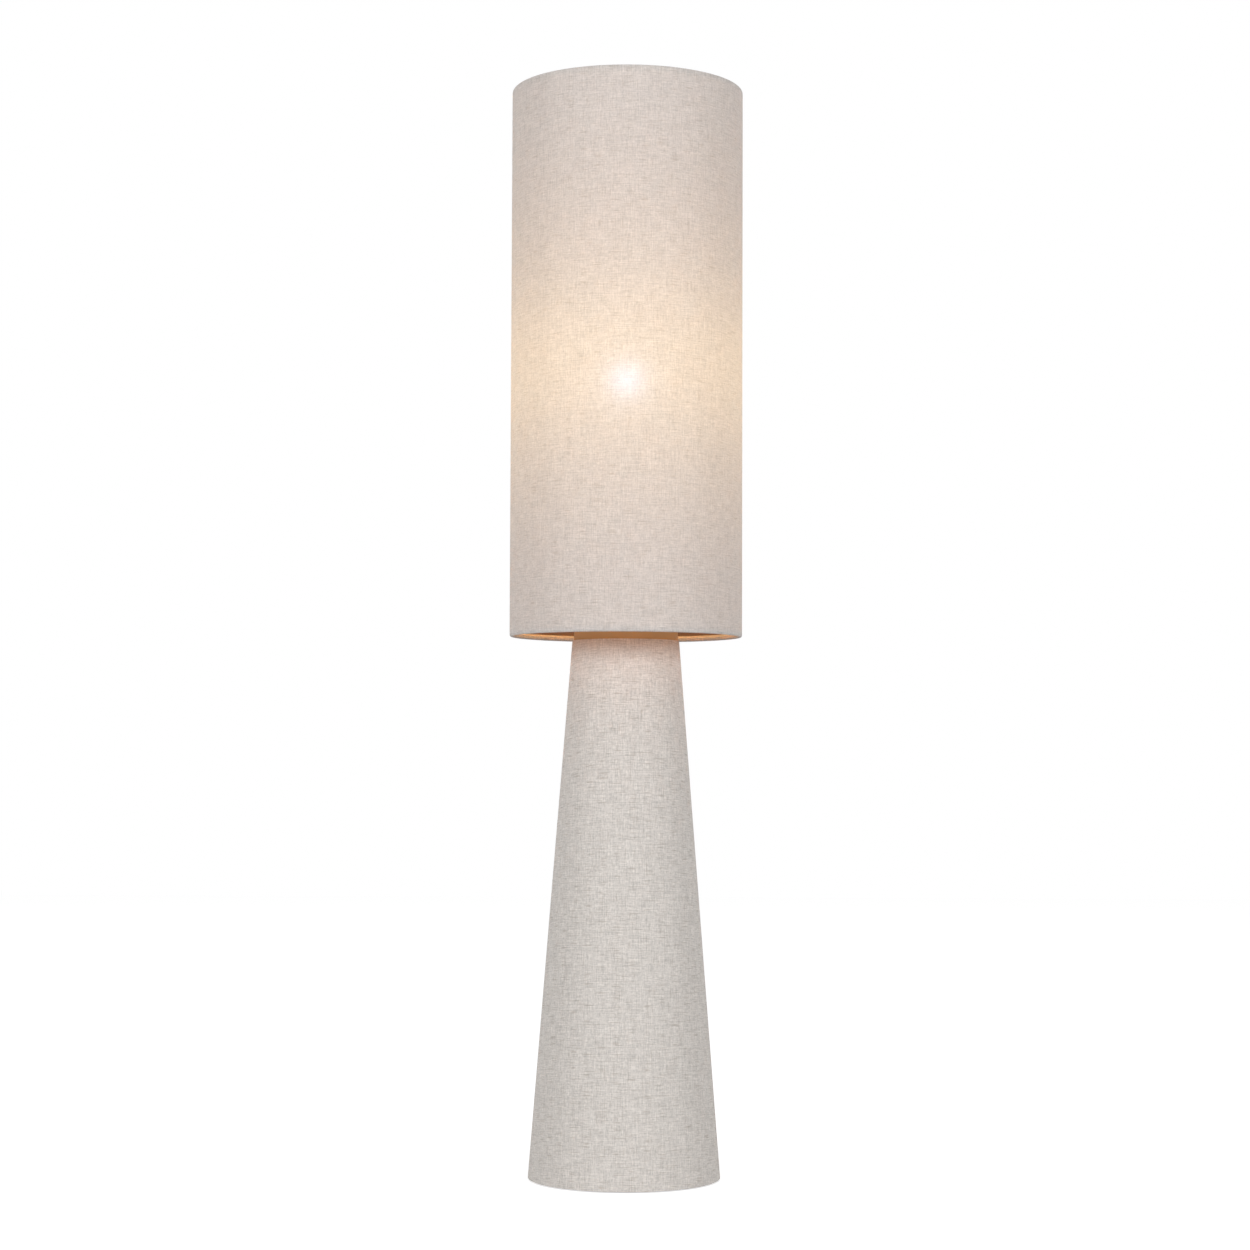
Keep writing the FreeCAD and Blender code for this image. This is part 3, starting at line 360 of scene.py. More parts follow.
@dataclass(frozen=True)
class GluedLinen(WovenLinen):
    """The back of the shade's linen, against the liner: the light passes it on its way out."""

    name: str = "woven natural linen glued side"

    def surface(self, tree: bpy.types.NodeTree) -> bpy.types.NodeSocket:
        """Linen to the eye, clear to the bulb's light, which the outer face weakens."""
        _, colour, normal = self.cloth_parts(tree)
        face = self.cloth_face(tree, colour, normal)
        clear = add_node(tree, "ShaderNodeBsdfTransparent").outputs[0]
        seen = add_node(tree, "ShaderNodeLightPath").outputs["Is Camera Ray"]
        return mixed(tree, seen, clear, face)


@dataclass(frozen=True)
class PressedFelt(Finish):
    """Pressed wool felt: very matt, with short fibres lying every way."""

    name: str = "pressed wool felt"
    colour: str = "#3b3733"
    fleck_colour: str = "#8a8178"
    fibre: float = 0.9              # millimetres
    cloud: float = 9.0              # size of the patches with more flecks, in millimetres

    def surface(self, tree: bpy.types.NodeTree) -> bpy.types.NodeSocket:
        """Felt with flecks of lighter fibre."""
        fleck = speckle(tree, (self.fibre, self.fibre, self.fibre), 3.0, 3.0)
        cloud = speckle(tree, (self.cloud, self.cloud, self.cloud), 8.0, 2.0)
        share = calculate(tree, "MULTIPLY", between(tree, fleck, 0.45, 0.7, 0.0, 0.5), cloud)
        colour = blend_colours(tree, share, rgba(self.colour), rgba(self.fleck_colour))
        return add_node(tree, "ShaderNodeBsdfPrincipled", None,
                        {"Base Color": colour, "Roughness": 1.0, "Sheen Weight": 0.4,
                         "Sheen Roughness": 0.5, "Specular IOR Level": 0.1,
                         "Normal": raised(tree, fleck, 0.3)}).outputs[0]


@dataclass(frozen=True)
class Plain(Finish):
    """A moulded, coated, cast, glazed or plated surface: one colour, slightly uneven."""

    name: str
    colour: str
    roughness: float
    metallic: float = 0.0
    coat: float = 0.0               # a clear layer, such as lacquer or glaze
    uneven: float = 0.06            # how far the colour drifts
    grain: tuple[float, float, float] = (1.5, 1.5, 1.5)     # millimetres
    relief: float = 0.02            # millimetres
    specks: str = ""                # a second colour in the grain

    def surface(self, tree: bpy.types.NodeTree) -> bpy.types.NodeSocket:
        """The colour with its drift, the grain's relief and an uneven shine."""
        grain = speckle(tree, self.grain, 2.0, 3.0)
        drift = speckle(tree, [12 * length for length in self.grain], 5.0, 2.0)
        darker = tuple(level * (1 - 2 * self.uneven) for level in linear(self.colour))
        colour = blend_colours(tree, drift, (*darker, 1.0), rgba(self.colour))
        if self.specks:
            share = between(tree, grain, 0.5, 0.75, 0.0, 0.5)
            colour = blend_colours(tree, share, colour, rgba(self.specks))
        rough = between(tree, grain, 0.3, 0.7, self.roughness * 0.85,
                        min(1.0, self.roughness * 1.15))
        return add_node(tree, "ShaderNodeBsdfPrincipled", None,
                        {"Base Color": colour, "Roughness": rough, "Metallic": self.metallic,
                         "Coat Weight": self.coat, "Coat Roughness": 0.15,
                         "Normal": raised(tree, grain, self.relief)}).outputs[0]


@dataclass(frozen=True)
class OpalGlobe(Finish):
    """Opal plastic dome of a bulb, lit from inside: nearly even, in two warm whites."""

    name: str = "opal diffusing dome, lit"
    colour: str = "#f6efe2"
    light_colour: str = "#ffe3bd"
    second_colour: str = "#ffefd6"
    strength: float = 6.0

    def surface(self, tree: bpy.types.NodeTree) -> bpy.types.NodeSocket:
        """A satin white dome that glows."""
        cloud = speckle(tree, (18.0, 18.0, 18.0), 1.0, 1.0)
        glow = blend_colours(tree, cloud, rgba(self.light_colour), rgba(self.second_colour))
        return add_node(tree, "ShaderNodeBsdfPrincipled", None,
                        {"Base Color": rgba(self.colour), "Roughness": 0.35,
                         "Emission Color": glow,
                         "Emission Strength": self.strength}).outputs[0]


@dataclass(frozen=True)
class StudioFloor(Finish):
    """Pale matt floor, lifted to white for the eye so that only a shadow shows on it."""

    name: str = "pale studio floor"
    colour: str = "#f2f2f2"
    lift: float = 0.66              # what the eye sees on top of the light that falls on it

    def surface(self, tree: bpy.types.NodeTree) -> bpy.types.NodeSocket:
        """A matt floor with an even light of its own that only the camera sees."""
        matt = add_node(tree, "ShaderNodeBsdfDiffuse", None, {0: rgba(self.colour)})
        path = add_node(tree, "ShaderNodeLightPath").outputs["Is Camera Ray"]
        lift = add_node(tree, "ShaderNodeEmission", None,
                        {0: WHITE, 1: calculate(tree, "MULTIPLY", path, self.lift)})
        return add_node(tree, "ShaderNodeAddShader", None,
                        {0: matt.outputs[0], 1: lift.outputs[0]}).outputs[0]


# The line above a finish, or else its class, says what the surface gives the eye.
LINEN = WovenLinen()
LIT_LINEN = LitLinen()
GLUED_LINEN = GluedLinen()
FELT = PressedFelt()
OPAL = OpalGlobe()
# Laminating sheet, seen by the camera only: smooth and satin, in a dark warm brown, darker than
# the colour the same wall sends back into the shade; that extra darkness is painted shade.
LINER_SHEET_PAINTED_SHADE = Plain("laminating sheet, satin, painted shade", "#7c6552", 0.45, uneven=0.02, relief=0.01)
# Turned fibreboard, stained and lacquered matt: even brown, fine turning lines round the axis.
PLUG_WOOD = Plain("stained fibreboard, turned", "#c3a273", 0.6, uneven=0.05,
                  grain=(6.0, 6.0, 0.5), relief=0.02)
# Raw fibreboard: pale brown, dusty, with flecks of darker fibre.
BOARD_WOOD = Plain("raw fibreboard, sawn", "#c2a47e", 0.85, uneven=0.08,
                   grain=(0.8, 0.8, 0.8), relief=0.05, specks="#9c7b56")
# Vulcanised fibre sheet: hard, brown red, faintly leathery.
FIBRE = Plain("vulcanised fibre sheet, pressed", "#6b4636", 0.5, uneven=0.06, relief=0.03)
# Cast iron under black paint: coarse skin, half shine.
IRON = Plain("cast iron, painted", "#26272a", 0.55, uneven=0.1, grain=(2.0, 2.0, 2.0),
             relief=0.15)
# Zinc plated steel: blue grey, patchy shine.
ZINC = Plain("steel, zinc plated", "#b9bdc0", 0.35, 1.0, uneven=0.06, relief=0.01)
# White powder coat: satin with a fine orange peel.
POWDER_COAT = Plain("steel, white powder coat", "#e6e2da", 0.4, uneven=0.02,
                    grain=(0.7, 0.7, 0.7), relief=0.02)
# Turned brass under lacquer: warm yellow, circular tool marks.
BRASS = Plain("brass, turned and lacquered", "#d9b26a", 0.25, 1.0, coat=0.4, uneven=0.05,
              grain=(3.0, 3.0, 0.3), relief=0.01)
# Black thermoset: satin, very slightly rippled.
THERMOSET = Plain("thermoset, moulded black", "#1c1c1e", 0.35, uneven=0.08, relief=0.015)
# Glazed porcelain: white under a glassy glaze.
PORCELAIN = Plain("porcelain, glazed", "#efece3", 0.3, coat=1.0, uneven=0.03, relief=0.02)
# Moulded polyamide: off white, fine eroded grain.
POLYAMIDE = Plain("polyamide, moulded", "#dcd8cf", 0.5, uneven=0.03, grain=(0.4, 0.4, 0.4),
                  relief=0.02)
# Soft insulation on the two leads: smooth, slight shine.
LEAD_BROWN = Plain("soft insulation, extruded brown", "#6a4029", 0.4, uneven=0.04, relief=0.01)
LEAD_BLUE = Plain("soft insulation, extruded blue", "#3c6db0", 0.4, uneven=0.04, relief=0.01)
# Moulded bulb body: glossy white.
BULB_WHITE = Plain("bulb body, moulded white", "#f0eee9", 0.25, uneven=0.02, relief=0.01)
# Nickel plated screw cap: bright, slightly yellowish.
NICKEL = Plain("brass, nickel plated and rolled", "#cfcabf", 0.2, 1.0, uneven=0.04,
               relief=0.01)
# Insulating glass ring of the cap: nearly black, glossy.
BLACK_GLASS = Plain("glass, black insulating", "#141416", 0.1, uneven=0.05, relief=0.01)
# White solder resist on the light board.
BOARD_WHITE = Plain("circuit board, white resist", "#e9ebe6", 0.4, uneven=0.02, relief=0.01)
# Yellow phosphor in clear resin.
PHOSPHOR = Plain("light chips, phosphor", "#f0d36a", 0.3, coat=0.5, uneven=0.04, relief=0.01)


class Slot(Enum):
    """The record's material slots, each with the finish that dresses it."""

    LINEN = ("linen", LINEN)
    FELT = ("felt", FELT)
    LINER = ("liner", LINER_SHEET_PAINTED_SHADE)
    PLUG_WOOD = ("plug_wood", PLUG_WOOD)
    BOARD_WOOD = ("board_wood", BOARD_WOOD)
    FIBRE = ("fibre", FIBRE)
    BALLAST_IRON = ("ballast_iron", IRON)
    ZINC_STEEL = ("zinc_steel", ZINC)
    WHITE_WIRE = ("white_wire", POWDER_COAT)
    BRASS = ("brass", BRASS)
    HOLDER_BLACK = ("holder_black", THERMOSET)
    PORCELAIN = ("porcelain", PORCELAIN)
    GLAND_WHITE = ("gland_white", POLYAMIDE)
    LEAD_BROWN = ("lead_brown", LEAD_BROWN)
    LEAD_BLUE = ("lead_blue", LEAD_BLUE)
    OPAL = ("opal", OPAL)
    BULB_WHITE = ("bulb_white", BULB_WHITE)
    BULB_METAL = ("bulb_metal", NICKEL)
    BLACK_GLASS = ("black_glass", BLACK_GLASS)
    BOARD_GREEN = ("board_green", BOARD_WHITE)
    LED_YELLOW = ("led_yellow", PHOSPHOR)

    @property
    def finish(self) -> Finish:
        """The finish that dresses this slot."""
        return self.value[1]

    @property
    def record_name(self) -> str:
        """The slot's name in the record."""
        return self.value[0]


def dress_built_parts(hidden: set[str]) -> None:
    """Puts each carried-over piece's finish on it.

    Args:
        hidden: Nodes that a piece of this script stands for.
    """
    finishes = {slot.record_name: slot.finish for slot in Slot}
    for part in frame["record"]["subparts"]:
        name = part["node"]
        if name in hidden:
            continue
        piece = frame["nodes"][name]
        piece.data.materials.clear()
        piece.data.materials.append(finishes[part["material_slot"]].material())
        LOG.info("%s wears %s", name, finishes[part["material_slot"]].name)


# ---------------------------------------------------------------------------------------------
# Shapes
# ---------------------------------------------------------------------------------------------

Corner = tuple[float, float, float]     # radius, height, rounding
ARC_STEPS = 5                           # edges in each rounded corner
FULL_TURN = 360.0                       # degrees
WELD = 0.01 * MM                        # points nearer to each other than this are one


def rounded(corners: list[Corner]) -> list[tuple[float, float]]:
    """An open outline with its corners rounded.

    Args:
        corners: Radius, height and rounding of each corner, in metres.

    Returns:
        The outline's points as radius and height.
    """
    points = [corners[0][:2]]
    for before, corner, after in zip(corners, corners[1:], corners[2:]):
        tip = Vector(corner[:2])
        back = (Vector(before[:2]) - tip).normalized()
        ahead = (Vector(after[:2]) - tip).normalized()
        rounding = corner[2]
        if rounding == 0:
            points.append(corner[:2])
            continue
        half = back.angle(ahead) / 2
        centre = tip + (back + ahead).normalized() * rounding / math.sin(half)
        first = tip + back * rounding / math.tan(half) - centre
        last = tip + ahead * rounding / math.tan(half) - centre
        for step in range(ARC_STEPS + 1):
            share = step / ARC_STEPS
            spoke = (first * (1 - share) + last * share).normalized() * rounding
            points.append(tuple(centre + spoke))
    points.append(corners[-1][:2])
    return points


def lengths_along(points: list[tuple[float, float]]) -> list[float]:
    """How far along the outline each of its points lies."""
    lengths = [0.0]
    for first, second in zip(points, points[1:]):
        lengths.append(lengths[-1] + math.dist(first, second))
    return lengths


def spin_outline(points: list[tuple[float, float]], start: float, sweep: float,
                 columns: int) -> bmesh.types.BMesh:
    """Turns an open outline about the lamp's axis.

    Args:
        points: Radius and height of each point.
        start: Azimuth of the first column in degrees, 0 along +X.
        sweep: How far it turns, in degrees.
        columns: How many columns of faces.

    Returns:
        The turned surface, with one block of vertices for each column. After a full turn the
        last column is the first one.
    """
    mesh = bmesh.new()
    turn = math.radians(start)
    outline = [mesh.verts.new((r * math.cos(turn), r * math.sin(turn), z)) for r, z in points]
    edges = [mesh.edges.new(pair) for pair in zip(outline, outline[1:])]
    bmesh.ops.spin(mesh, geom=outline + edges, cent=ORIGIN, axis=(0, 0, 1),
                   angle=math.radians(sweep), steps=columns,
                   use_merge=sweep == FULL_TURN, use_duplicate=False)
    mesh.verts.ensure_lookup_table()
    mesh.verts.index_update()
    return mesh


def face_outwards(mesh: bmesh.types.BMesh) -> None:
    """Makes the faces agree, with the one farthest from the axis looking away from it."""
    bmesh.ops.recalc_face_normals(mesh, faces=mesh.faces)
    mesh.normal_update()
    farthest = max(mesh.faces, key=lambda face: face.calc_center_median().xy.length)
    if farthest.normal.xy.dot(farthest.calc_center_median().xy) < 0:
        bmesh.ops.reverse_faces(mesh, faces=mesh.faces)
    mesh.normal_update()


def turned_solid(points: list[tuple[float, float]], columns: int) -> bmesh.types.BMesh:
    """A full turn of an outline, closed at its poles, with its faces outwards."""
    mesh = spin_outline(points, 0.0, FULL_TURN, columns)
    bmesh.ops.remove_doubles(mesh, verts=mesh.verts, dist=WELD)
    face_outwards(mesh)
    return mesh


def put_in_scene(name: str, data: bpy.types.ID) -> bpy.types.Object:
    """A new object for a mesh, a light or a camera, in the scene."""
    thing = bpy.data.objects.new(name, data)
    bpy.context.scene.collection.objects.link(thing)
    return thing


def finished(mesh: bmesh.types.BMesh, name: str, finishes: list[Finish],
             sharp: float = 35.0) -> bpy.types.Object:
    """Makes a piece of a finished mesh.

    Args:
        mesh: The mesh, which is freed.
        name: The piece's name.
        finishes: One for each material slot.
        sharp: Edges that turn by more degrees than this stay sharp.

    Returns:
        The new piece, at the origin.
    """
    data = bpy.data.meshes.new(name)
    mesh.to_mesh(data)
    mesh.free()
    for finish in finishes:
        data.materials.append(finish.material())
    data.shade_smooth()
    data.set_sharp_from_angle(angle=math.radians(sharp))
    LOG.info("%s: %d faces", name, len(data.polygons))
    return put_in_scene(name, data)


def thicken(piece: bpy.types.Object, thickness: float, inner_slot: int = 0) -> None:
    """Gives a surface its thickness, inwards from the face it has."""
    wall = piece.modifiers.new("thickness", "SOLIDIFY")
    wall.thickness = thickness
    wall.offset = -1.0
    wall.use_even_offset = True
    wall.material_offset = inner_slot
    wall.material_offset_rim = 0


def only_seen(piece: bpy.types.Object) -> None:
    """Leaves a piece to the camera: it sends no light on and casts no shadow."""
    piece.visible_diffuse = False
    piece.visible_glossy = False
    piece.visible_transmission = False
    piece.visible_shadow = False


# ---------------------------------------------------------------------------------------------
# Cloth
# ---------------------------------------------------------------------------------------------

COLUMN_STEP = 2.0           # degrees from one column of faces to the next
SEAM_AZIMUTH = 101.0        # at the rear, a little to one side
LAP_COLUMNS = 2             # columns where the cloth lies double
LAP_GAP = 0.05 * MM         # glue between the two layers
RAMP_COLUMNS = 6            # columns in which the upper layer comes down


@dataclass
class ClothSkin:
    """A sheet of linen wrapped round the lamp, its two ends lapped at the rear."""

    name: str
    corners: list[Corner]
    thickness: float
    place: Callable[[float, float], tuple[float, float]]    # turn, length along -> threads
    finishes: list[Finish]
    inner_slot: int

    def wrapped(self) -> tuple[bmesh.types.BMesh, list[tuple[float, float]]]:
        """The turned sheet with its thread coordinates, before it is lapped."""
        points = rounded(self.corners)
        columns = round(FULL_TURN / COLUMN_STEP) + LAP_COLUMNS
        mesh = spin_outline(points, SEAM_AZIMUTH, columns * COLUMN_STEP, columns)
        along = lengths_along(points)
        finder = KDTree(len(points))
        for number, (r, z) in enumerate(points):
            finder.insert((r, z, 0), number)
        finder.balance()
        layer = mesh.loops.layers.uv.new(CLOTH_UV)
        for face in mesh.faces:
            for loop in face.loops:
                spot = loop.vert.co
                number = finder.find((math.hypot(spot.x, spot.y), spot.z, 0))[1]
                column = loop.vert.index // len(points)
                turn = math.radians(SEAM_AZIMUTH + column * COLUMN_STEP)
                loop[layer].uv = self.place(turn, along[number])
        return mesh, points

    def lap(self, mesh: bmesh.types.BMesh, count: int) -> None:
        """Lifts the first columns over the last ones, and brings them down again.

        Args:
            mesh: The wrapped sheet.
            count: How many vertices each column has.
        """
        lift = self.thickness + LAP_GAP
        moves = []
        for vert in mesh.verts:
            column = vert.index // count
            if column < LAP_COLUMNS + RAMP_COLUMNS:
                down = max(0, column - LAP_COLUMNS) / RAMP_COLUMNS
                share = 1 - down * down * (3 - 2 * down)
                moves.append((vert, vert.normal * lift * share))
        for vert, move in moves:
            vert.co += move

    def make(self, openings: Callable[[bmesh.types.BMesh], None]) -> bpy.types.Object:
        """Builds the piece.

        Args:
            openings: Cuts the sheet where something passes it.

        Returns:
            The finished sheet.
        """
        mesh, points = self.wrapped()
        face_outwards(mesh)
        self.lap(mesh, len(points))
        openings(mesh)
        piece = finished(mesh, self.name, self.finishes)
        thicken(piece, self.thickness, self.inner_slot)
        return piece


# ---------------------------------------------------------------------------------------------
# Shade
# ---------------------------------------------------------------------------------------------

@dataclass
class Shade:
    """The linen cylinder with its wire rings, spider and liner."""

    radius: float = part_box("shade_fabric")[1].x
    bottom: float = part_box("shade_fabric")[0].z
    top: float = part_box("shade_fabric")[1].z
    cloth: float = 0.45 * MM
    edge_rounding: float = 2.2 * MM
    roll_depth: float = 7.0 * MM        # how far the linen is turned in behind each ring
    ring_wire: float = 3.5 * MM
    leg_gap: float = 0.33 * MM          # between ring and turned-in linen
    liner_depth: float = 0.53 * MM      # the liner's wall with its glue
    past_ring: float = 0.9 * MM         # linen beyond the ring before it steps back outwards
    lap: float = 10.0 * MM
    hem_length: float = 12.0 * MM       # linen in each rolled edge
    arm_azimuths: tuple[float, ...] = (90.0, 210.0, 330.0)
    arm_level: float = 1.9 * MM         # lowest point of an arm over the lower edge

    def outline(self) -> list[Corner]:
        """The sheet's outer face, from the lower turned-in edge over both rolls."""
        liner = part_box("shade_liner")[1].x - self.liner_depth
        leg = liner - self.ring_wire - self.leg_gap - self.cloth
        tip = liner - self.cloth
        ring_far = self.ring_wire + self.past_ring
        lower = [(tip, self.roll_depth, 0.0), (leg, ring_far, 0.0),
                 (leg, 0.0, self.edge_rounding), (self.radius, 0.0, self.edge_rounding)]
        rising = [(r, self.bottom + h, rounding) for r, h, rounding in lower]
        falling = [(r, self.top - h, rounding) for r, h, rounding in reversed(lower)]
        return rising + falling

    def threads(self, turn: float, along: float) -> tuple[float, float]:
        """Threads run level round the shade and straight up it."""
        return turn * self.radius, along

    def cut_for_arms(self, mesh: bmesh.types.BMesh) -> None:
        """Opens the lower turned-in linen where each arm passes it to its ring."""
        wall = self.radius - self.ring_wire
        gone = []
        for face in mesh.faces:
            centre = face.calc_center_median()
            level = centre.z - self.bottom
            if not self.arm_level < level < self.roll_depth:
                continue
            azimuth = math.degrees(math.atan2(centre.y, centre.x)) % FULL_TURN
            nearest = min(abs(azimuth - arm) for arm in self.arm_azimuths)
            if math.hypot(centre.x, centre.y) < wall and nearest < COLUMN_STEP / 2:
                gone.append(face)
        bmesh.ops.delete(mesh, geom=gone, context="FACES")

    def build(self) -> None:
        skin = ClothSkin("shade_linen", self.outline(), self.cloth, self.threads,
                         [LIT_LINEN, GLUED_LINEN], 1)
        linen = skin.make(self.cut_for_arms)
        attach(linen, "shade")
        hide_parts("shade_fabric")
        # The linen's outer face already stands for what the whole laminate lets through.
        only_seen(frame["nodes"]["shade_liner"])


# ---------------------------------------------------------------------------------------------
# Base
# ---------------------------------------------------------------------------------------------

@dataclass
class Base:
    """The linen that covers the cone."""

    foot_radius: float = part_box("base_fabric")[1].x
    foot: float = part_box("base_fabric")[0].z
    top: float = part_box("base_fabric")[1].z
    top_radius: float = 63.8 * MM
    cloth: float = 0.45 * MM
    foot_turn_in: float = 11.0 * MM
    foot_rounding: float = 0.8 * MM
    top_turn_in: float = 8.0 * MM
    top_rounding: float = 0.6 * MM
    wall: float = 1.46 * MM             # outer face to the turned-in face at the top
    lap: float = 10.0 * MM
    gland_level: float = (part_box("cord_gland")[0].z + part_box("cord_gland")[1].z) / 2
    gland_hole: float = 6.2 * MM

    @property
    def half_angle(self) -> float:
        """Angle between the cone's side and its axis."""
        return math.atan2(self.foot_radius - self.top_radius, self.top - self.foot)

    def outline(self) -> list[Corner]:
        """The sheet's outer face, from under the board to inside the upper edge."""
        lean = self.top_turn_in * math.tan(self.half_angle)
        inner = self.top_radius - self.wall
        gland = [self.gland_level - self.gland_hole, self.gland_level + self.gland_hole]
        side = [(self.foot_radius - (z - self.foot) * math.tan(self.half_angle), z, 0.0)
                for z in (gland[0], self.gland_level, gland[1])]
        return [(self.foot_radius - self.foot_turn_in, self.foot, 0.0),
                (self.foot_radius, self.foot, self.foot_rounding), *side,
                (self.top_radius, self.top, self.top_rounding),
                (inner, self.top, self.top_rounding),
                (inner + lean, self.top - self.top_turn_in, 0.0)]

    def threads(self, turn: float, along: float) -> tuple[float, float]:
        """Threads as they lie in the flat cut, a sector of a ring, upright at the front."""
        share = math.sin(self.half_angle)
        reach = self.foot_radius / share + self.foot_turn_in - along
        swing = (turn - 1.5 * math.pi) * share
        return reach * math.sin(swing), -reach * math.cos(swing)

    def cut_for_gland(self, mesh: bmesh.types.BMesh) -> None:
        """Opens a round hole in the rear where the cord gland passes the linen."""
        def offset(spot: Vector) -> Vector:
            """A place as seen along the hole's axis, from its middle."""
            return Vector((spot.x, 0, spot.z - self.gland_level))
        reach = self.gland_hole * 1.05      # takes in faces whose middle is just outside
        near = [face for face in mesh.faces
                if face.calc_center_median().y > 0
                and offset(face.calc_center_median()).length < reach
                and abs(face.normal.z) < 0.5]
        rim = {vert for face in near for vert in face.verts
               if any(other not in near for other in vert.link_faces)}
        bmesh.ops.delete(mesh, geom=near, context="FACES")
        for vert in rim:
            spoke = offset(vert.co).normalized() * self.gland_hole
            vert.co.x = spoke.x
            vert.co.z = self.gland_level + spoke.z

    def cover(self) -> None:
        skin = ClothSkin("base_linen", self.outline(), self.cloth, self.threads, [LINEN], 0)
        linen = skin.make(self.cut_for_gland)
        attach(linen, "root")
        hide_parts("base_fabric")


# ---------------------------------------------------------------------------------------------
# Felt
# ---------------------------------------------------------------------------------------------

FELT_ROUNDING = 0.4 * MM
FELT_COLUMNS = 120
SEAT_FELT_HOLE = 35.5 * MM      # radius


def felt_disc(name: str, node: str, body: str, inner: float) -> None:
    """Builds a die-cut felt disc or ring with soft edges.

    Args:
        name: The piece's name.
        node: The solid that it stands for, which gives its size and place.
        body: The body that it rides on.
        inner: Radius of the hole, or 0.
    """
    low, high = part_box(node)
    outer = high.x
    soft = FELT_ROUNDING
    if inner:
        middle = (low.z + high.z) / 2
        outline = rounded([(inner, middle, 0), (inner, low.z, soft), (outer, low.z, soft),
                           (outer, high.z, soft), (inner, high.z, soft), (inner, middle, 0)])
    else:
        outline = rounded([(0, low.z, 0), (outer, low.z, soft), (outer, high.z, soft),
                           (0, high.z, 0)])
    felt = finished(turned_solid(outline, FELT_COLUMNS), name, [FELT])
    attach(felt, body)
    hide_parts(node)


# ---------------------------------------------------------------------------------------------
# Bulb
# ---------------------------------------------------------------------------------------------

@dataclass
class Bulb:
    """The lit globe on its body; its light is what glows through the shade."""

    radius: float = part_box("bulb_globe")[1].x
    top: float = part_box("bulb_globe")[1].z
    rim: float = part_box("bulb_globe")[0].z
    wall: float = 1.0 * MM
    rings: int = 24
    columns: int = 64
    power: float = 3.3                  # watts of light
    light_colour: str = "#ffeebc"
    light_radius: float = 18.0 * MM

    @property
    def centre(self) -> float:
        """Height of the globe's middle."""
        return self.top - self.radius

    def build(self) -> None:
        """Builds the globe and hangs the light in it."""
        lowest = math.asin((self.rim - self.centre) / self.radius)
        outline = []
        for step in range(self.rings + 1):
            angle = lowest + (math.pi / 2 - lowest) * step / self.rings
            outline.append((self.radius * math.cos(angle),
                            self.centre + self.radius * math.sin(angle)))
        globe = finished(turned_solid(outline, self.columns), "lit_globe", [OPAL])
        thicken(globe, self.wall)
        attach(globe, "bulb")
        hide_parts("bulb_globe")
        # The light inside does the lighting; the globe only shows where it comes from. The
        # body under it casts no shadow, as a real dome shines past its own body all round.
        OPAL.material().cycles.emission_sampling = "NONE"
        only_seen(globe)
        for node in ("bulb_body", "bulb_led_board", "bulb_leds", "bulb_driver_board"):
            frame["nodes"][node].visible_shadow = False
        self.light(globe)

    def light(self, globe: bpy.types.Object) -> None:
        """Puts the bulb's light where the globe glows, so that it moves with the bulb."""
        lamp = bpy.data.lights.new("bulb_light", "POINT")
        lamp.energy = self.power
        lamp.color = linear(self.light_colour)
        lamp.shadow_soft_size = self.light_radius
        holder = put_in_scene("bulb_light", lamp)
        holder.location = (0, 0, self.centre)
        holder.visible_camera = False
        holder.parent = globe


# ---------------------------------------------------------------------------------------------
# Studio
# ---------------------------------------------------------------------------------------------

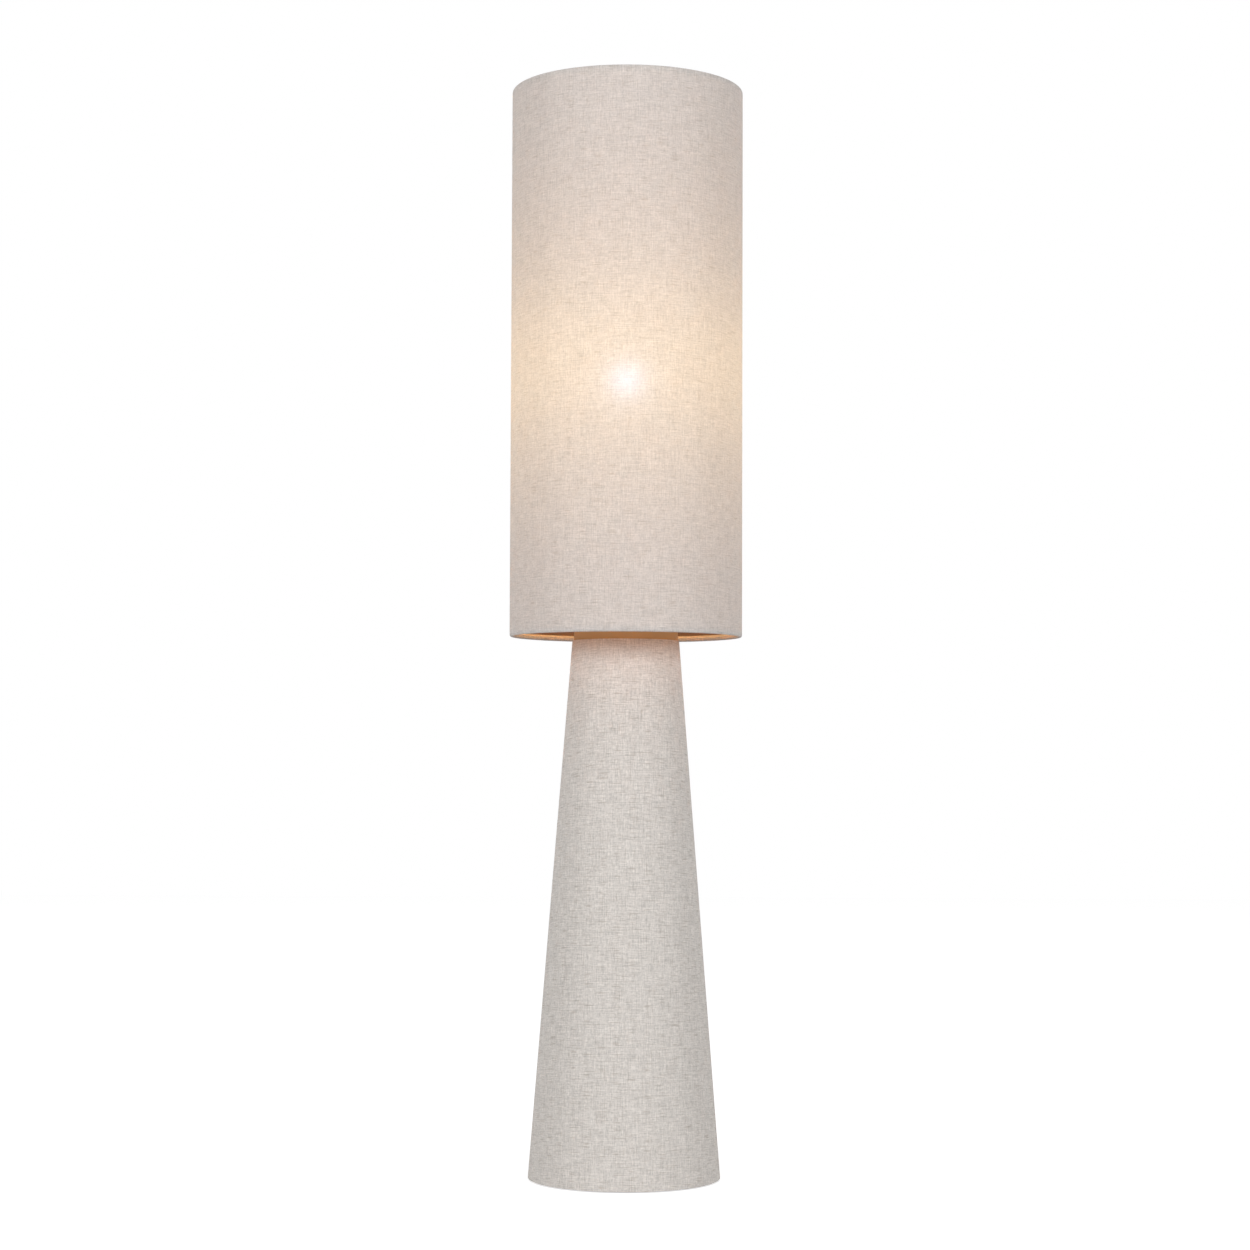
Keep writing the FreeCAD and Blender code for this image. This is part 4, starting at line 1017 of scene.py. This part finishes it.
@dataclass
class Studio:
    """A plain white room with soft light from the front, and the camera."""

    surround: float = 0.319             # light from all round
    key_powers: tuple[float, float] = (378.0, 353.0)    # watts, left and right
    key_size: float = 2.9
    key_distance: float = 9.0
    key_turn: float = 40.0              # degrees to the left and right of the viewer
    key_height: float = 3.0
    key_aim: float = 0.65
    floor_size: float = 14.0
    floor_drop: float = 0.1 * MM        # keeps it clear of the felt
    lens: float = 78.08
    camera_place: tuple[float, float, float] = (-0.0004, -3.2407, 0.4862)
    camera_pitch: float = 93.01         # degrees from straight down
    camera_roll: float = -0.2

    def background_share(self, tree: bpy.types.NodeTree) -> bpy.types.NodeSocket:
        """1 for what is seen directly or mirrored, 0 for light."""
        path = add_node(tree, "ShaderNodeLightPath").outputs
        return calculate(tree, "MAXIMUM", path["Is Camera Ray"], path["Is Glossy Ray"])

    def world(self) -> None:
        """White to the eye, and even soft light on the lamp."""
        world = bpy.data.worlds.new("white_studio")
        world.use_nodes = True
        tree = world.node_tree
        tree.nodes.clear()
        strength = add_node(tree, "ShaderNodeMapRange", None,
                            {0: self.background_share(tree), 3: self.surround, 4: 1.0})
        background = add_node(tree, "ShaderNodeBackground", None,
                              {0: WHITE, 1: strength.outputs[0]})
        add_node(tree, "ShaderNodeOutputWorld", None, {0: background.outputs[0]})
        bpy.context.scene.world = world

    def floor(self) -> None:
        """A pale floor that keeps the lamp's shadow."""
        mesh = bmesh.new()
        bmesh.ops.create_grid(mesh, x_segments=2, y_segments=2, size=self.floor_size / 2)
        bmesh.ops.translate(mesh, verts=mesh.verts, vec=(0, 0, -self.floor_drop))
        finished(mesh, "studio_floor", [StudioFloor()])

    def lights(self) -> None:
        """A pair of large soft lights in front, one to each side of the viewer."""
        for side, power in zip((-1, 1), self.key_powers):
            lamp = bpy.data.lights.new("softbox", "AREA")
            lamp.energy = power
            lamp.size = self.key_size
            softbox = put_in_scene("softbox", lamp)
            turn = math.radians(self.key_turn)
            softbox.location = (side * self.key_distance * math.sin(turn),
                                -self.key_distance * math.cos(turn), self.key_height)
            aim = Vector((0, 0, self.key_aim)) - softbox.location
            softbox.rotation_euler = aim.to_track_quat("-Z", "Y").to_euler()

    def camera(self) -> None:
        """The camera at knee height, tilted slightly upwards."""
        data = bpy.data.cameras.new("camera")
        data.lens = self.lens
        camera = put_in_scene("camera", data)
        camera.location = self.camera_place
        camera.rotation_euler = (math.radians(self.camera_pitch),
                                 math.radians(self.camera_roll), 0)
        bpy.context.scene.camera = camera

    def set_up(self) -> None:
        """Makes the whole studio."""
        self.camera()
        self.world()
        self.floor()
        self.lights()
        scene = bpy.context.scene
        scene.view_settings.view_transform = "Standard"
        scene.cycles.use_denoising = True


def main() -> None:
    """Builds the studio, the lamp's cloth, felt and globe, and dresses the rest."""
    logging.basicConfig(level=logging.INFO, format="%(message)s")
    Studio().set_up()
    Shade().build()
    Base().cover()
    felt_disc("foot_felt", "felt_pad", "root", 0.0)
    felt_disc("seat_felt", "seat_washer", "seat_washer", SEAT_FELT_HOLE)
    Bulb().build()
    dress_built_parts({"shade_fabric", "base_fabric", "felt_pad", "seat_washer", "bulb_globe"})


if __name__ == "__main__":
    main()
